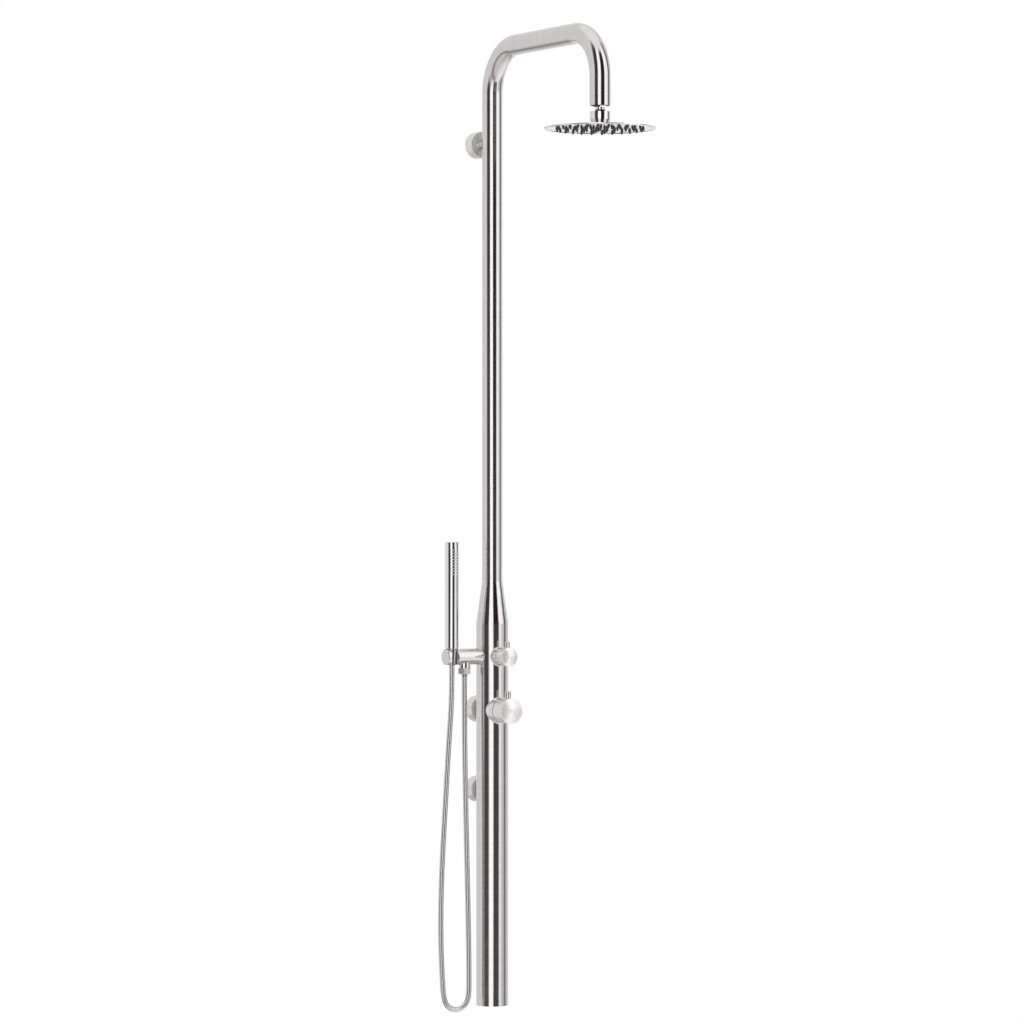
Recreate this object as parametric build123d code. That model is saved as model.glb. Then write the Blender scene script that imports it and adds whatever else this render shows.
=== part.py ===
"""Wall-mounted outdoor shower: a bent stainless column with mixer, diverter, hand shower and head.

Frame: the origin is the centre of the lower inlet on the wall. X runs along the wall, -Y comes
forward from the wall to the bather and Z points up. All sizes are in millimetres.
"""

from build123d import *
import math
import os

os.makedirs("parts", exist_ok=True)

# Driving dimensions of the column
WALL_GAP = 58.0             # wall plane to the column's axis
INLET_SPACING = 150.0       # lower inlet to upper inlet
FOOT_BELOW_INLET = 400.0    # lower inlet down to the cut foot of the column
LOWER_TUBE_R = 30.0
RISER_R = 19.0
TUBE_WALL = 2.0
REDUCER_FOOT = 312.0        # height of the reducer's lower kink over the lower inlet
REDUCER_LENGTH = 76.0
REDUCER_COLLAR = 7.0        # straight ends of the reducer that butt on the tubes
REDUCER_EASE = 28.0         # radius that eases both kinks of the reducer
ARM_HEIGHT = 1381.0         # arm's centre line over the lower inlet
ARM_REACH = 377.0           # column's axis to the head's axis
ARM_BEND_R = 85.0
DROP_LENGTH = 137.0         # arm's centre line down to the drop's lower end
FOOT_PLUG_THICKNESS = 3.0
FOOT_PLUG_SKIRT = 9.0
FOOT_PLUG_RECESS = 1.0
DRAIN_R = 3.0
WELD_SPAN = 60.0            # length of tube, above and below a boss, that its weld is cut on

# Wall fixings
ROSETTE_R = 24.8
ROSETTE_DEPTH = 24.0
ROSETTE_WALL = 2.5
ROSETTE_EDGE = 1.0
INLET_STEM_R = 13.0
INLET_STEM_END_GAP = 8.0    # stem's end behind the inside of the rosette's front
INLET_NIPPLE_OVERHANG = 4.0 # nipple's inner end inside the column's wall
INLET_THREAD_R = 10.475     # half of a G1/2 thread's 20.95 mm
INLET_BORE_R = 7.0
INLET_THREAD_REACH = 14.0   # thread that stands behind the wall plane
WALL_SEAL_THICKNESS = 2.0
WALL_SEAL_R = 14.5
SEAL_GROOVE = 0.7           # groove of each nipple that holds the wall seal
STRAINER_RIM = 2.0
STRAINER_LENGTH = 8.0
VALVE_BEHIND_STRAINER = 5.0
VALVE_RIM = 3.0             # each of the two full-bore rims of a non-return valve
VALVE_WAIST = 3.0
VALVE_LENGTH = 14.0
UPPER_FIXING_BELOW_ARM = 175.5
UPPER_STEM_R = 10.0
ANCHOR_DEPTH = 12.0
STUD_R = 4.0
STUD_IN_WALL = 30.0
STUD_NECK_R = 3.3
STUD_NECK = 1.5             # thread run-out between the wall thread and the machine thread
STUD_OVER_NUT = 1.5
STUD_NUT_AF = 13.0
STUD_NUT_HEIGHT = 6.5
ROSETTE_GRUB_R = 2.5

# Mixer and diverter
MIXER_HEIGHT = 150.0
DIVERTER_HEIGHT = 250.0
MIXER_R = 23.5
MIXER_BOSS_R = 24.0
MIXER_BOSS_FRONT = 40.0     # forward distances are counted from the column's axis
MIXER_FRONT = 70.0
MIXER_CAVITY_R = 15.0
MIXER_SPINDLE_R = 4.0
MIXER_PIN_R = 6.0
MIXER_PIN_STAND = 13.0
MIXER_PIN_FORWARD = 57.0
DIVERTER_R = 17.5
DIVERTER_BOSS_R = 17.5
DIVERTER_BOSS_FRONT = 39.5
DIVERTER_FRONT = 63.5
DIVERTER_CAVITY_R = 10.5
DIVERTER_SPINDLE_R = 3.0
DIVERTER_PIN_R = 4.8
DIVERTER_PIN_STAND = 11.0
DIVERTER_PIN_FORWARD = 55.0
BODY_WALL = 3.5             # brass wall round each cartridge
BODY_RECESS = 2.0           # brass body's front behind the boss's front
CAVITY_LENGTH = 36.0        # cartridge's seat behind the boss's front
CARTRIDGE_NUT = 8.0
KNOB_GAP = 1.0
KNOB_SHELL = 4.0
KNOB_EDGE = 0.6
KNOB_RECESS = 4.0           # depth of the hollow in the knob's back
PIN_ROOT = 8.0              # distance of each pin's inner end from the spindle's axis
GRUB_R = 2.0
GRUB_LENGTH = 7.0
WELD_FILLET = 2.0
PIPE_R = 6.0
PIPE_WALL = 1.0
PORT_DEPTH = 3.0
CHANNEL_R = 2.6             # water ways drilled in the brass bodies
CHANNEL_STEP = 0.4          # the bore that reaches the cartridge is this much smaller
CHANNEL_DEPTH_IN_CARTRIDGE = 5.0
FEED_BEHIND_AXIS = 6.0      # pipes inside the column run this far behind its axis

# Holder arm and hose
HOLDER_R = 15.0
HOLDER_END = 101.0          # column's axis to the bar's free end
HANDSET_X = 87.0            # column's axis to the hand shower's axis
SEAT_GAP = 0.3
SLOT_HALF = 6.5
SLOT_FLARE = 1.6            # depth over which the slot's mouth widens, by as much to each side
HOLDER_EDGE = 0.8
OUTLET_X = 60.0
HAND_BORE_PAST_OUTLET = 4.0 # water bore of the arm beyond the outlet's axis
HAND_FEED_SHORT = 14.0      # the pipe in that bore ends this far before the outlet's axis
OUTLET_COLLAR_R = 10.8
OUTLET_COLLAR_HEIGHT = 6.2
OUTLET_THREAD_R = 10.0
OUTLET_PLUG_R = 8.0
OUTLET_BORE_R = 4.5
UNION_NUT_AF = 22.5
UNION_NUT_HEIGHT = 10.8
UNION_NUT_LIP = 2.0
HOSE_R = 5.0
FERRULE_R = 5.6
FERRULE_FLANGE = 2.0
WASHER_THICKNESS = 2.0
LOWER_FERRULE_REACH = 5.0   # ferrule below the union nut
UPPER_FERRULE_REACH = 1.0   # ferrule below the conical nut
CONE_TOP_R = 11.8
CONE_FOOT_R = 8.4
CONE_LENGTH = 30.5
CONE_THREAD_R = 10.0
CONE_THREAD_DEPTH = 12.5

# Hand shower
STICK_R = 12.5
STICK_LENGTH = 197.5
STICK_WALL = 2.0
STICK_CAP = 3.0
STICK_CAP_PLUG = 6.0
SPRAY_HALF_WIDTH = 8.5      # of the pad that carries the nozzles, inside the stick
SPRAY_TOP_BELOW_CAP = 11.7
SPRAY_LENGTH = 52.0
SPRAY_ROWS = 9
SPRAY_PITCH = 5.6
SPRAY_COLUMN_ANGLES = (-36.0, -18.0, 0.0, 18.0, 36.0)
SPRAY_NOZZLE_R = 1.0
SPRAY_NOZZLE_TIP_R = 0.6
SPRAY_NOZZLE_STAND = 2.0    # nozzle's tip over the stick's surface
SPRAY_PAD = 1.3             # thickness of the pad

# Shower head
HEAD_R = 100.0
HEAD_PLATE = 1.0
HEAD_BELOW_DROP = 41.0      # drop's end down to the spray plate's lower face
HEAD_CROWN = 3.0            # rise of the top plate from rim to hub
BALL_R = 12.5
BALL_BELOW_DROP = 16.0      # drop's end down to the ball's centre
NECK_R = 8.6
HEX_AF = 22.0
HEX_HEIGHT = 3.2
NIPPLE_THREAD_R = 9.0
NIPPLE_THREAD = 12.0
NIPPLE_BORE_R = 4.0
NIPPLE_SEAL = 1.5
BUSH_HEIGHT = 22.0
BALL_GAP = 0.1
SEAT_RING_R = 14.2
SEAT_RING_RISE = 3.5
SEAT_RING_DROP = 7.0
SOCKET_GAP = 0.2
COLLAR_R = 18.5
COLLAR_RISE = 5.4
COLLAR_DROP = 14.5
COLLAR_THREAD_R = 15.2
COLLAR_THREAD = 8.0
COLLAR_TAPER = 6.0          # height of the collar's tapered foot
COLLAR_EDGE = 0.5
HUB_R = 16.2
HEAD_RIM = 1.5              # width of the top plate's turned-down rim
RIM_CHAMFER = 1.0           # under the rim's outer edge
NOZZLE_RING_STEP = 15.5
NOZZLE_COUNTS = (5, 10, 15, 20, 26)
NOZZLE_R = 2.0
NOZZLE_TIP_R = 1.3
NOZZLE_STAND = 4.0
NOZZLE_MAT_R = 82.0
NOZZLE_MAT = 0.6            # thickness of the mat

# Hose route: distance left of the column's axis, forward of it, and height over the lower inlet.
# It leaves the union nut, hangs down, turns and climbs to the conical nut.
HOSE_INNER_POINTS = (
    (60.0, 0.0, 118.0),
    (59.7, 3.0, 0.0),
    (57.9, 5.5, -125.0),
    (55.3, 6.5, -252.0),
    (53.7, 6.0, -342.0),
    (54.0, 5.5, -387.0),
    (69.6, 5.0, -403.4),
    (91.1, 4.5, -403.4),
    (106.8, 4.5, -387.6),
    (110.7, 5.0, -343.0),
    (115.2, 6.5, -256.0),
    (113.2, 7.5, -146.0),
    (104.8, 6.0, -28.0),
    (95.0, 2.5, 92.0),
    (87.0, 0.0, 172.0),
)

# Values worked out from the driving dimensions
FOOT_Z = -FOOT_BELOW_INLET
DROP_END = ARM_HEIGHT - DROP_LENGTH
UPPER_FIXING_HEIGHT = ARM_HEIGHT - UPPER_FIXING_BELOW_ARM
HEAD_UNDERSIDE = DROP_END - HEAD_BELOW_DROP
REDUCER_TOP = REDUCER_FOOT + REDUCER_LENGTH
LOWER_TUBE_TOP = REDUCER_FOOT - REDUCER_COLLAR
RISER_FOOT = REDUCER_TOP + REDUCER_COLLAR
HOLDER_FOOT = DIVERTER_HEIGHT - HOLDER_R
OUTLET_COLLAR_FOOT = HOLDER_FOOT - OUTLET_COLLAR_HEIGHT
UNION_NUT_FOOT = OUTLET_COLLAR_FOOT - UNION_NUT_HEIGHT
HOSE_START_Z = UNION_NUT_FOOT - LOWER_FERRULE_REACH
CONE_FOOT_Z = HOLDER_FOOT
CONE_TOP_Z = CONE_FOOT_Z + CONE_LENGTH
HOSE_END_Z = CONE_FOOT_Z - UPPER_FERRULE_REACH
STICK_TOP = CONE_TOP_Z + STICK_LENGTH
BALL_Z = DROP_END - BALL_BELOW_DROP
SOCKET_R = SEAT_RING_R + SOCKET_GAP
PLATE_TOP = HEAD_UNDERSIDE + 2 * HEAD_PLATE
HUB_FOOT = PLATE_TOP + HEAD_CROWN


def spot(right, forward, height):
    """A point from its distance right of the column's axis, forward of it, and its height."""
    return Vector(right, -WALL_GAP - forward, height)


FORWARD = Vector(0, -1, 0)
UP = Vector(0, 0, 1)


def rod(radius, start, end):
    """A round bar between two points."""
    run = end - start
    return extrude(Plane(origin=start, z_dir=run) * Circle(radius), run.length)


def pipe(outer, inner, start, end):
    """A round tube between two points."""
    run = end - start
    return extrude(Plane(origin=start, z_dir=run) * (Circle(outer) - Circle(inner)), run.length)


def turned(outline, origin, along):
    """A lathe part: the outline's points are (radius, distance along the axis)."""
    radial = UP if abs(along.Z) < 0.5 else Vector(1, 0, 0)
    plane = Plane(origin=origin, x_dir=radial, z_dir=radial.cross(along))
    return revolve(plane * make_face(Polyline(*outline, close=True)), axis=Axis(origin, along))


def hexagon(across_flats, start, along, height):
    """A hexagonal bar with a corner to either side."""
    side = Vector(1, 0, 0)
    plane = Plane(origin=start, x_dir=side, z_dir=along)
    radius = across_flats / 2 / math.cos(math.radians(30))
    return extrude(plane * RegularPolygon(radius, 6), height)


def tube_piece(radius, height):
    """A solid length of the column round a height, for a boss to be welded on."""
    return rod(radius, spot(0, 0, height - WELD_SPAN), spot(0, 0, height + WELD_SPAN))


def welded(boss, tube_solid):
    """The boss alone, with the fillet that runs out on the tube it stands on."""
    joined = tube_solid + boss
    outside = [e for e in joined.edges() if e.geom_type not in (GeomType.LINE, GeomType.CIRCLE)]
    return fillet(outside, WELD_FILLET) - tube_solid


def grub_screw(radius, start, along, length):
    """A headless screw with its hexagon socket at the outer end."""
    end = start + along * length
    socket = hexagon(radius, end - along * radius, along, radius)
    return rod(radius, start, end) - socket


parts = {}

# Column
parts["lower_tube"] = pipe(
    LOWER_TUBE_R, LOWER_TUBE_R - TUBE_WALL, spot(0, 0, FOOT_Z), spot(0, 0, LOWER_TUBE_TOP)
)
plug_top = FOOT_Z + FOOT_PLUG_RECESS + FOOT_PLUG_SKIRT
plug_r = LOWER_TUBE_R - TUBE_WALL
parts["foot_plug"] = (
    rod(plug_r, spot(0, 0, FOOT_Z + FOOT_PLUG_RECESS), spot(0, 0, plug_top))
    - rod(
        plug_r - FOOT_PLUG_THICKNESS,
        spot(0, 0, FOOT_Z + FOOT_PLUG_RECESS + FOOT_PLUG_THICKNESS),
        spot(0, 0, plug_top),
    )
    - rod(DRAIN_R, spot(0, 0, FOOT_Z), spot(0, 0, plug_top))
)


def reducer_line(inset):
    """One side of the reducer's wall, from its foot to its top, with eased kinks."""
    return FilletPolyline(
        (LOWER_TUBE_R - inset, LOWER_TUBE_TOP),
        (LOWER_TUBE_R - inset, REDUCER_FOOT),
        (RISER_R - inset, REDUCER_TOP),
        (RISER_R - inset, RISER_FOOT),
        radius=REDUCER_EASE,
    )


outer_line = reducer_line(0)
inner_line = reducer_line(TUBE_WALL)
reducer_section = make_face([
    outer_line,
    inner_line,
    Line(outer_line @ 0, inner_line @ 0),
    Line(outer_line @ 1, inner_line @ 1),
])
reducer_plane = Plane(origin=spot(0, 0, 0), x_dir=(1, 0, 0), z_dir=FORWARD)
parts["reducer_cone"] = revolve(reducer_plane * reducer_section, axis=Axis(spot(0, 0, 0), UP))

arm_end = spot(0, ARM_REACH, ARM_HEIGHT)
riser_path = FilletPolyline(
    spot(0, 0, RISER_FOOT),
    spot(0, 0, ARM_HEIGHT),
    arm_end,
    spot(0, ARM_REACH, DROP_END),
    radius=ARM_BEND_R,
)
riser_foot_plane = Plane(origin=spot(0, 0, RISER_FOOT), z_dir=UP)
parts["riser_tube"] = sweep(
    riser_foot_plane * (Circle(RISER_R) - Circle(RISER_R - TUBE_WALL)), path=riser_path
)

# Upper wall fixing
upper = UPPER_FIXING_HEIGHT
rosette_front = -WALL_GAP + ROSETTE_DEPTH
upper_stem = rod(UPPER_STEM_R, spot(0, 0, upper), spot(0, rosette_front, upper))
parts["upper_stem"] = welded(upper_stem, tube_piece(RISER_R, upper))


def rosette(height, hole_r):
    """The turned cup that covers a wall fixing, open to the wall."""
    cup = rod(ROSETTE_R, spot(0, -WALL_GAP, height), spot(0, rosette_front, height))
    cup = chamfer(cup.edges().group_by(Axis.Y)[0], ROSETTE_EDGE)
    hollow = rod(
        ROSETTE_R - ROSETTE_WALL,
        spot(0, -WALL_GAP, height),
        spot(0, rosette_front - ROSETTE_WALL, height),
    )
    cup = cup - hollow
    if hole_r > 0:
        cup = cup - rod(hole_r, spot(0, -WALL_GAP, height), spot(0, rosette_front, height))
    return cup


anchor_front = -WALL_GAP + ANCHOR_DEPTH
anchor_r = ROSETTE_R - ROSETTE_WALL - SOCKET_GAP
grub_forward = -WALL_GAP + ANCHOR_DEPTH / 2
grub_outer = spot(0, grub_forward, upper - ROSETTE_R - 1)
grub_inner = spot(0, grub_forward, upper - ROSETTE_R + GRUB_LENGTH)
grub_hole = rod(ROSETTE_GRUB_R, grub_outer, grub_inner)
parts["upper_rosette"] = rosette(upper, 0) - grub_hole
stud_front = anchor_front + STUD_NUT_HEIGHT + STUD_OVER_NUT
wall_behind = -WALL_GAP - STUD_IN_WALL
parts["upper_anchor"] = (
    rod(anchor_r, spot(0, -WALL_GAP, upper), spot(0, anchor_front, upper))
    - rod(STUD_R, spot(0, -WALL_GAP, upper), spot(0, anchor_front, upper))
    - grub_hole
)
stud_neck = pipe(
    STUD_R, STUD_NECK_R, spot(0, -WALL_GAP - STUD_NECK, upper), spot(0, -WALL_GAP, upper)
)
parts["upper_stud"] = (
    rod(STUD_R, spot(0, wall_behind, upper), spot(0, stud_front, upper)) - stud_neck
)
parts["upper_stud_nut"] = hexagon(
    STUD_NUT_AF, spot(0, anchor_front, upper), FORWARD, STUD_NUT_HEIGHT
) - rod(STUD_R, spot(0, anchor_front, upper), spot(0, stud_front, upper))
parts["upper_rosette_grub"] = grub_screw(ROSETTE_GRUB_R, grub_inner, -UP, GRUB_LENGTH - 0.5)

# Inlets: the lower one brings cold water, the upper one hot water
stem_end = rosette_front - ROSETTE_WALL - INLET_STEM_END_GAP
nipple_inner = -LOWER_TUBE_R + TUBE_WALL + INLET_NIPPLE_OVERHANG
nipple_outer = -WALL_GAP - INLET_THREAD_REACH
inlet_pairs = {
    "inlet_stems": [],
    "inlet_rosettes": [],
    "inlet_nipples": [],
    "wall_seals": [],
    "inlet_strainers": [],
    "non_return_valves": [],
}
strainer_foot = 1.0
strainer_rim = strainer_foot + STRAINER_RIM
strainer_end = strainer_foot + STRAINER_LENGTH
valve_foot = strainer_end + VALVE_BEHIND_STRAINER
valve_waist = valve_foot + VALVE_RIM
valve_front_rim = valve_waist + VALVE_WAIST
valve_end = valve_foot + VALVE_LENGTH
valve_waist_r = INLET_BORE_R - 1
valve_bore_r = INLET_BORE_R * 0.3
for height in (0, INLET_SPACING):
    tube_solid = tube_piece(LOWER_TUBE_R, height)
    stem = rod(INLET_STEM_R, spot(0, 0, height), spot(0, stem_end, height))
    stem_bore = rod(INLET_THREAD_R, spot(0, 0, height), spot(0, stem_end, height))
    parts["lower_tube"] -= stem_bore
    inlet_pairs["inlet_stems"].append(welded(stem, tube_solid) - stem_bore)
    inlet_pairs["inlet_rosettes"].append(rosette(height, INLET_STEM_R + SOCKET_GAP))
    wall_seal = pipe(
        WALL_SEAL_R,
        INLET_THREAD_R - SEAL_GROOVE,
        spot(0, -WALL_GAP, height),
        spot(0, -WALL_GAP + WALL_SEAL_THICKNESS, height),
    )
    nipple = pipe(
        INLET_THREAD_R,
        INLET_BORE_R,
        spot(0, nipple_inner, height),
        spot(0, nipple_outer, height),
    )
    inlet_pairs["wall_seals"].append(wall_seal)
    inlet_pairs["inlet_nipples"].append(nipple - wall_seal)
    mouth = spot(0, nipple_outer, height)
    inlet_pairs["inlet_strainers"].append(turned(
        [
            (0, strainer_foot),
            (INLET_BORE_R, strainer_foot),
            (INLET_BORE_R, strainer_rim),
            (INLET_BORE_R * 0.6, strainer_rim),
            (INLET_BORE_R * 0.45, strainer_end),
            (0, strainer_end),
        ],
        mouth,
        FORWARD,
    ))
    inlet_pairs["non_return_valves"].append(turned(
        [
            (valve_bore_r, valve_foot),
            (INLET_BORE_R, valve_foot),
            (INLET_BORE_R, valve_waist),
            (valve_waist_r, valve_waist + 0.6),
            (valve_waist_r, valve_front_rim - 0.6),
            (INLET_BORE_R, valve_front_rim),
            (INLET_BORE_R, valve_end - 2),
            (INLET_BORE_R * 0.6, valve_end),
            (valve_bore_r, valve_end),
        ],
        mouth,
        FORWARD,
    ))
for node, pair in inlet_pairs.items():
    parts[node] = Compound(children=pair)


def cartridge_set(name, height, boss_r, boss_front, cavity_r, spindle_r, knob_r, knob_front,
                  pin_r, pin_stand, pin_forward):
    """Boss, brass body, cartridge, nut, spindle, knob, pin and grub screw of one control."""
    body_r = cavity_r + BODY_WALL
    body_front = boss_front - BODY_RECESS
    cavity_back = boss_front - CAVITY_LENGTH
    nut_back = body_front - CARTRIDGE_NUT
    tube_solid = tube_piece(LOWER_TUBE_R, height)
    boss = rod(boss_r, spot(0, 0, height), spot(0, boss_front, height))
    boss_bore = rod(body_r, spot(0, 0, height), spot(0, boss_front, height))
    parts[name + "_boss"] = welded(boss, tube_solid) - boss_bore
    parts["lower_tube"] -= boss_bore

    parts[name + "_valve_body"] = rod(
        body_r, spot(0, -body_r, height), spot(0, body_front, height)
    ) - rod(cavity_r, spot(0, cavity_back, height), spot(0, body_front, height))

    axis_start = spot(0, 0, height)
    seat = cavity_r - 1.6
    parts[name + "_cartridge"] = turned(
        [
            (0, cavity_back),
            (cavity_r, cavity_back),
            (cavity_r, nut_back - 5),
            (seat, nut_back - 4),
            (seat, nut_back - 2),
            (cavity_r, nut_back - 2),
            (cavity_r, nut_back),
            (spindle_r + 2, nut_back),
            (spindle_r + 2, nut_back + 4),
            (spindle_r + 0.08, nut_back + 4),
            (spindle_r + 0.08, nut_back - 9),
            (0, nut_back - 9),
        ],
        axis_start,
        FORWARD,
    )
    nut = pipe(cavity_r, spindle_r + 2.3, spot(0, nut_back, height), spot(0, body_front, height))
    for side in (-1, 1):
        slot = Box(4, 3, 3).moved(Location(spot(side * (cavity_r - 1), body_front - 1, height)))
        nut = nut - slot
    parts[name + "_cartridge_nut"] = nut

    knob_back = boss_front + KNOB_GAP
    hub_end = pin_forward - pin_r - 1
    parts[name + "_spindle"] = rod(
        spindle_r, spot(0, nut_back - 8.5, height), spot(0, hub_end, height)
    )
    knob = rod(knob_r, spot(0, knob_back, height), spot(0, knob_front, height))
    knob = chamfer(knob.edges().filter_by(GeomType.CIRCLE), KNOB_EDGE)
    recess_end = knob_back + KNOB_RECESS
    knob = knob - rod(
        knob_r - KNOB_SHELL, spot(0, knob_back, height), spot(0, recess_end, height)
    )
    knob = knob - rod(spindle_r, spot(0, knob_back, height), spot(0, hub_end, height))
    pin_top = height + knob_r + pin_stand
    pin = rod(pin_r, spot(0, pin_forward, height + PIN_ROOT), spot(0, pin_forward, pin_top))
    knob = knob - pin
    pin = chamfer(pin.edges().group_by(Axis.Z)[-1], 0.5)
    grub_at = recess_end + GRUB_R + 1
    grub_hole = rod(GRUB_R, spot(0, grub_at, height), spot(0, grub_at, height - knob_r - 1))
    parts[name + "_knob"] = knob - grub_hole
    parts[name + "_lever_pin"] = pin
    parts[name + "_grub_screw"] = grub_screw(
        GRUB_R, spot(0, grub_at, height - spindle_r), -UP, GRUB_LENGTH
    )
    return body_r


mixer_body_r = cartridge_set(
    "mixer", MIXER_HEIGHT, MIXER_BOSS_R, MIXER_BOSS_FRONT, MIXER_CAVITY_R, MIXER_SPINDLE_R,
    MIXER_R, MIXER_FRONT, MIXER_PIN_R, MIXER_PIN_STAND, MIXER_PIN_FORWARD,
)
diverter_body_r = cartridge_set(
    "diverter", DIVERTER_HEIGHT, DIVERTER_BOSS_R, DIVERTER_BOSS_FRONT, DIVERTER_CAVITY_R,
    DIVERTER_SPINDLE_R, DIVERTER_R, DIVERTER_FRONT, DIVERTER_PIN_R, DIVERTER_PIN_STAND,
    DIVERTER_PIN_FORWARD,
)

# Water pipes inside the column; each ends in a port of the brass body that it feeds
PORT_FORWARD = -FEED_BEHIND_AXIS
elbow_r = PIPE_R + 3
elbow_top = elbow_r + 6
elbow = rod(INLET_THREAD_R, spot(0, nipple_inner, 0), spot(0, PORT_FORWARD + elbow_r, 0))
elbow = elbow + rod(elbow_r, spot(0, PORT_FORWARD, 0), spot(0, PORT_FORWARD, elbow_top))
elbow = elbow - rod(PIPE_R - PIPE_WALL, spot(0, nipple_inner, 0), spot(0, PORT_FORWARD, 0))
elbow = elbow - rod(
    PIPE_R - PIPE_WALL, spot(0, PORT_FORWARD, 0), spot(0, PORT_FORWARD, elbow_top)
)
elbow_socket = rod(
    PIPE_R, spot(0, PORT_FORWARD, elbow_top - PORT_DEPTH), spot(0, PORT_FORWARD, elbow_top)
)
parts["cold_elbow"] = elbow - elbow_socket


def feed(name, start, end, bodies):
    """A pipe between two ports; the ports are cut in the bodies that it enters."""
    parts[name] = pipe(PIPE_R, PIPE_R - PIPE_WALL, start, end)
    for body in bodies:
        parts[body] = parts[body] - rod(PIPE_R, start, end)


mixer_low = MIXER_HEIGHT - mixer_body_r
mixer_high = MIXER_HEIGHT + mixer_body_r
feed(
    "cold_feed_pipe",
    spot(0, PORT_FORWARD, elbow_top - PORT_DEPTH),
    spot(0, PORT_FORWARD, mixer_low + PORT_DEPTH),
    ["mixer_valve_body"],
)
feed(
    "mixed_water_pipe",
    spot(0, PORT_FORWARD, mixer_high - PORT_DEPTH),
    spot(0, PORT_FORWARD, DIVERTER_HEIGHT - diverter_body_r + PORT_DEPTH),
    ["mixer_valve_body", "diverter_valve_body"],
)
hand_feed_end = OUTLET_X - HAND_FEED_SHORT
hand_bore = rod(
    PIPE_R,
    spot(0, PORT_FORWARD, DIVERTER_HEIGHT),
    spot(-OUTLET_X - HAND_BORE_PAST_OUTLET, PORT_FORWARD, DIVERTER_HEIGHT),
)
feed(
    "hand_feed_pipe",
    spot(-diverter_body_r + PORT_DEPTH, PORT_FORWARD, DIVERTER_HEIGHT),
    spot(-hand_feed_end, PORT_FORWARD, DIVERTER_HEIGHT),
    ["diverter_valve_body"],
)
parts["lower_tube"] -= rod(
    PIPE_R,
    spot(0, PORT_FORWARD, DIVERTER_HEIGHT),
    spot(-LOWER_TUBE_R - 5, PORT_FORWARD, DIVERTER_HEIGHT),
)


def drilled(name, port, turn, mouth):
    """A water way of two crossing bores: from a port in to the turn, and on to the cartridge."""
    body = name + "_valve_body"
    inward = (turn - port).normalized()
    narrow = CHANNEL_R - CHANNEL_STEP
    cartridge_end = mouth + FORWARD * CHANNEL_DEPTH_IN_CARTRIDGE
    parts[body] -= rod(CHANNEL_R, port, turn + inward * CHANNEL_R)
    parts[body] -= rod(narrow, turn, mouth)
    parts[name + "_cartridge"] -= rod(narrow, mouth, cartridge_end)


mixer_back = MIXER_BOSS_FRONT - CAVITY_LENGTH
mixer_way = MIXER_CAVITY_R - CHANNEL_R - 2
for side, port in ((-1, mixer_low), (1, mixer_high)):
    drilled(
        "mixer",
        spot(0, PORT_FORWARD, port),
        spot(0, PORT_FORWARD, MIXER_HEIGHT + side * mixer_way),
        spot(0, mixer_back, MIXER_HEIGHT + side * mixer_way),
    )
parts["mixer_valve_body"] -= rod(
    CHANNEL_R, spot(0, -mixer_body_r, MIXER_HEIGHT), spot(0, mixer_back, MIXER_HEIGHT)
)
diverter_back = DIVERTER_BOSS_FRONT - CAVITY_LENGTH
diverter_way = DIVERTER_CAVITY_R - CHANNEL_R - 2
drilled(
    "diverter",
    spot(0, PORT_FORWARD, DIVERTER_HEIGHT - diverter_body_r),
    spot(0, PORT_FORWARD, DIVERTER_HEIGHT - diverter_way),
    spot(0, diverter_back, DIVERTER_HEIGHT - diverter_way),
)
drilled(
    "diverter",
    spot(-diverter_body_r, PORT_FORWARD, DIVERTER_HEIGHT),
    spot(-diverter_way, PORT_FORWARD, DIVERTER_HEIGHT),
    spot(-diverter_way, diverter_back, DIVERTER_HEIGHT),
)
drilled(
    "diverter",
    spot(0, 0, DIVERTER_HEIGHT + diverter_body_r),
    spot(0, 0, DIVERTER_HEIGHT + diverter_way),
    spot(0, diverter_back, DIVERTER_HEIGHT + diverter_way),
)

# The hot water coupling joins the upper inlet's nipple to the mixer's brass body
parts["hot_coupling"] = pipe(
    INLET_THREAD_R,
    INLET_BORE_R,
    spot(0, nipple_inner, MIXER_HEIGHT),
    spot(0, -mixer_body_r, MIXER_HEIGHT),
)

bush_top = DROP_END + BUSH_HEIGHT
seal_foot = DROP_END + NIPPLE_THREAD
seal_top = seal_foot + NIPPLE_SEAL
head_feed_start = DIVERTER_HEIGHT + diverter_body_r - PORT_DEPTH
head_feed_path = FilletPolyline(
    spot(0, 0, head_feed_start),
    spot(0, 0, ARM_HEIGHT),
    arm_end,
    spot(0, ARM_REACH, seal_top),
    radius=ARM_BEND_R,
)
head_feed_plane = Plane(origin=spot(0, 0, head_feed_start), z_dir=UP)
parts["head_feed_pipe"] = sweep(
    head_feed_plane * (Circle(PIPE_R) - Circle(PIPE_R - PIPE_WALL)), path=head_feed_path
)
parts["diverter_valve_body"] -= rod(
    PIPE_R, spot(0, 0, head_feed_start), spot(0, 0, DIVERTER_HEIGHT + diverter_body_r + 1)
)

# Holder arm with its slotted conical seat and its hose outlet
seat_x = -HANDSET_X
arm_bar = rod(HOLDER_R, spot(0, 0, DIVERTER_HEIGHT), spot(-HOLDER_END, 0, DIVERTER_HEIGHT))
arm_bar = chamfer(arm_bar.edges().group_by(Axis.X)[0], HOLDER_EDGE)
holder = welded(arm_bar, tube_piece(LOWER_TUBE_R, DIVERTER_HEIGHT))
cone_slope = (CONE_TOP_R - CONE_FOOT_R) / CONE_LENGTH
seat_low = CONE_FOOT_Z - 2
seat_high = CONE_TOP_Z + 2
seat_cut = turned(
    [
        (0, seat_low),
        (CONE_FOOT_R + SEAT_GAP - cone_slope * 2, seat_low),
        (CONE_TOP_R + SEAT_GAP + cone_slope * 2, seat_high),
        (0, seat_high),
    ],
    spot(seat_x, 0, 0),
    UP,
)
past_bar = 5.0
flare_start = HOLDER_R - SLOT_FLARE
mouth_half = SLOT_HALF + SLOT_FLARE + past_bar
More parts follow.
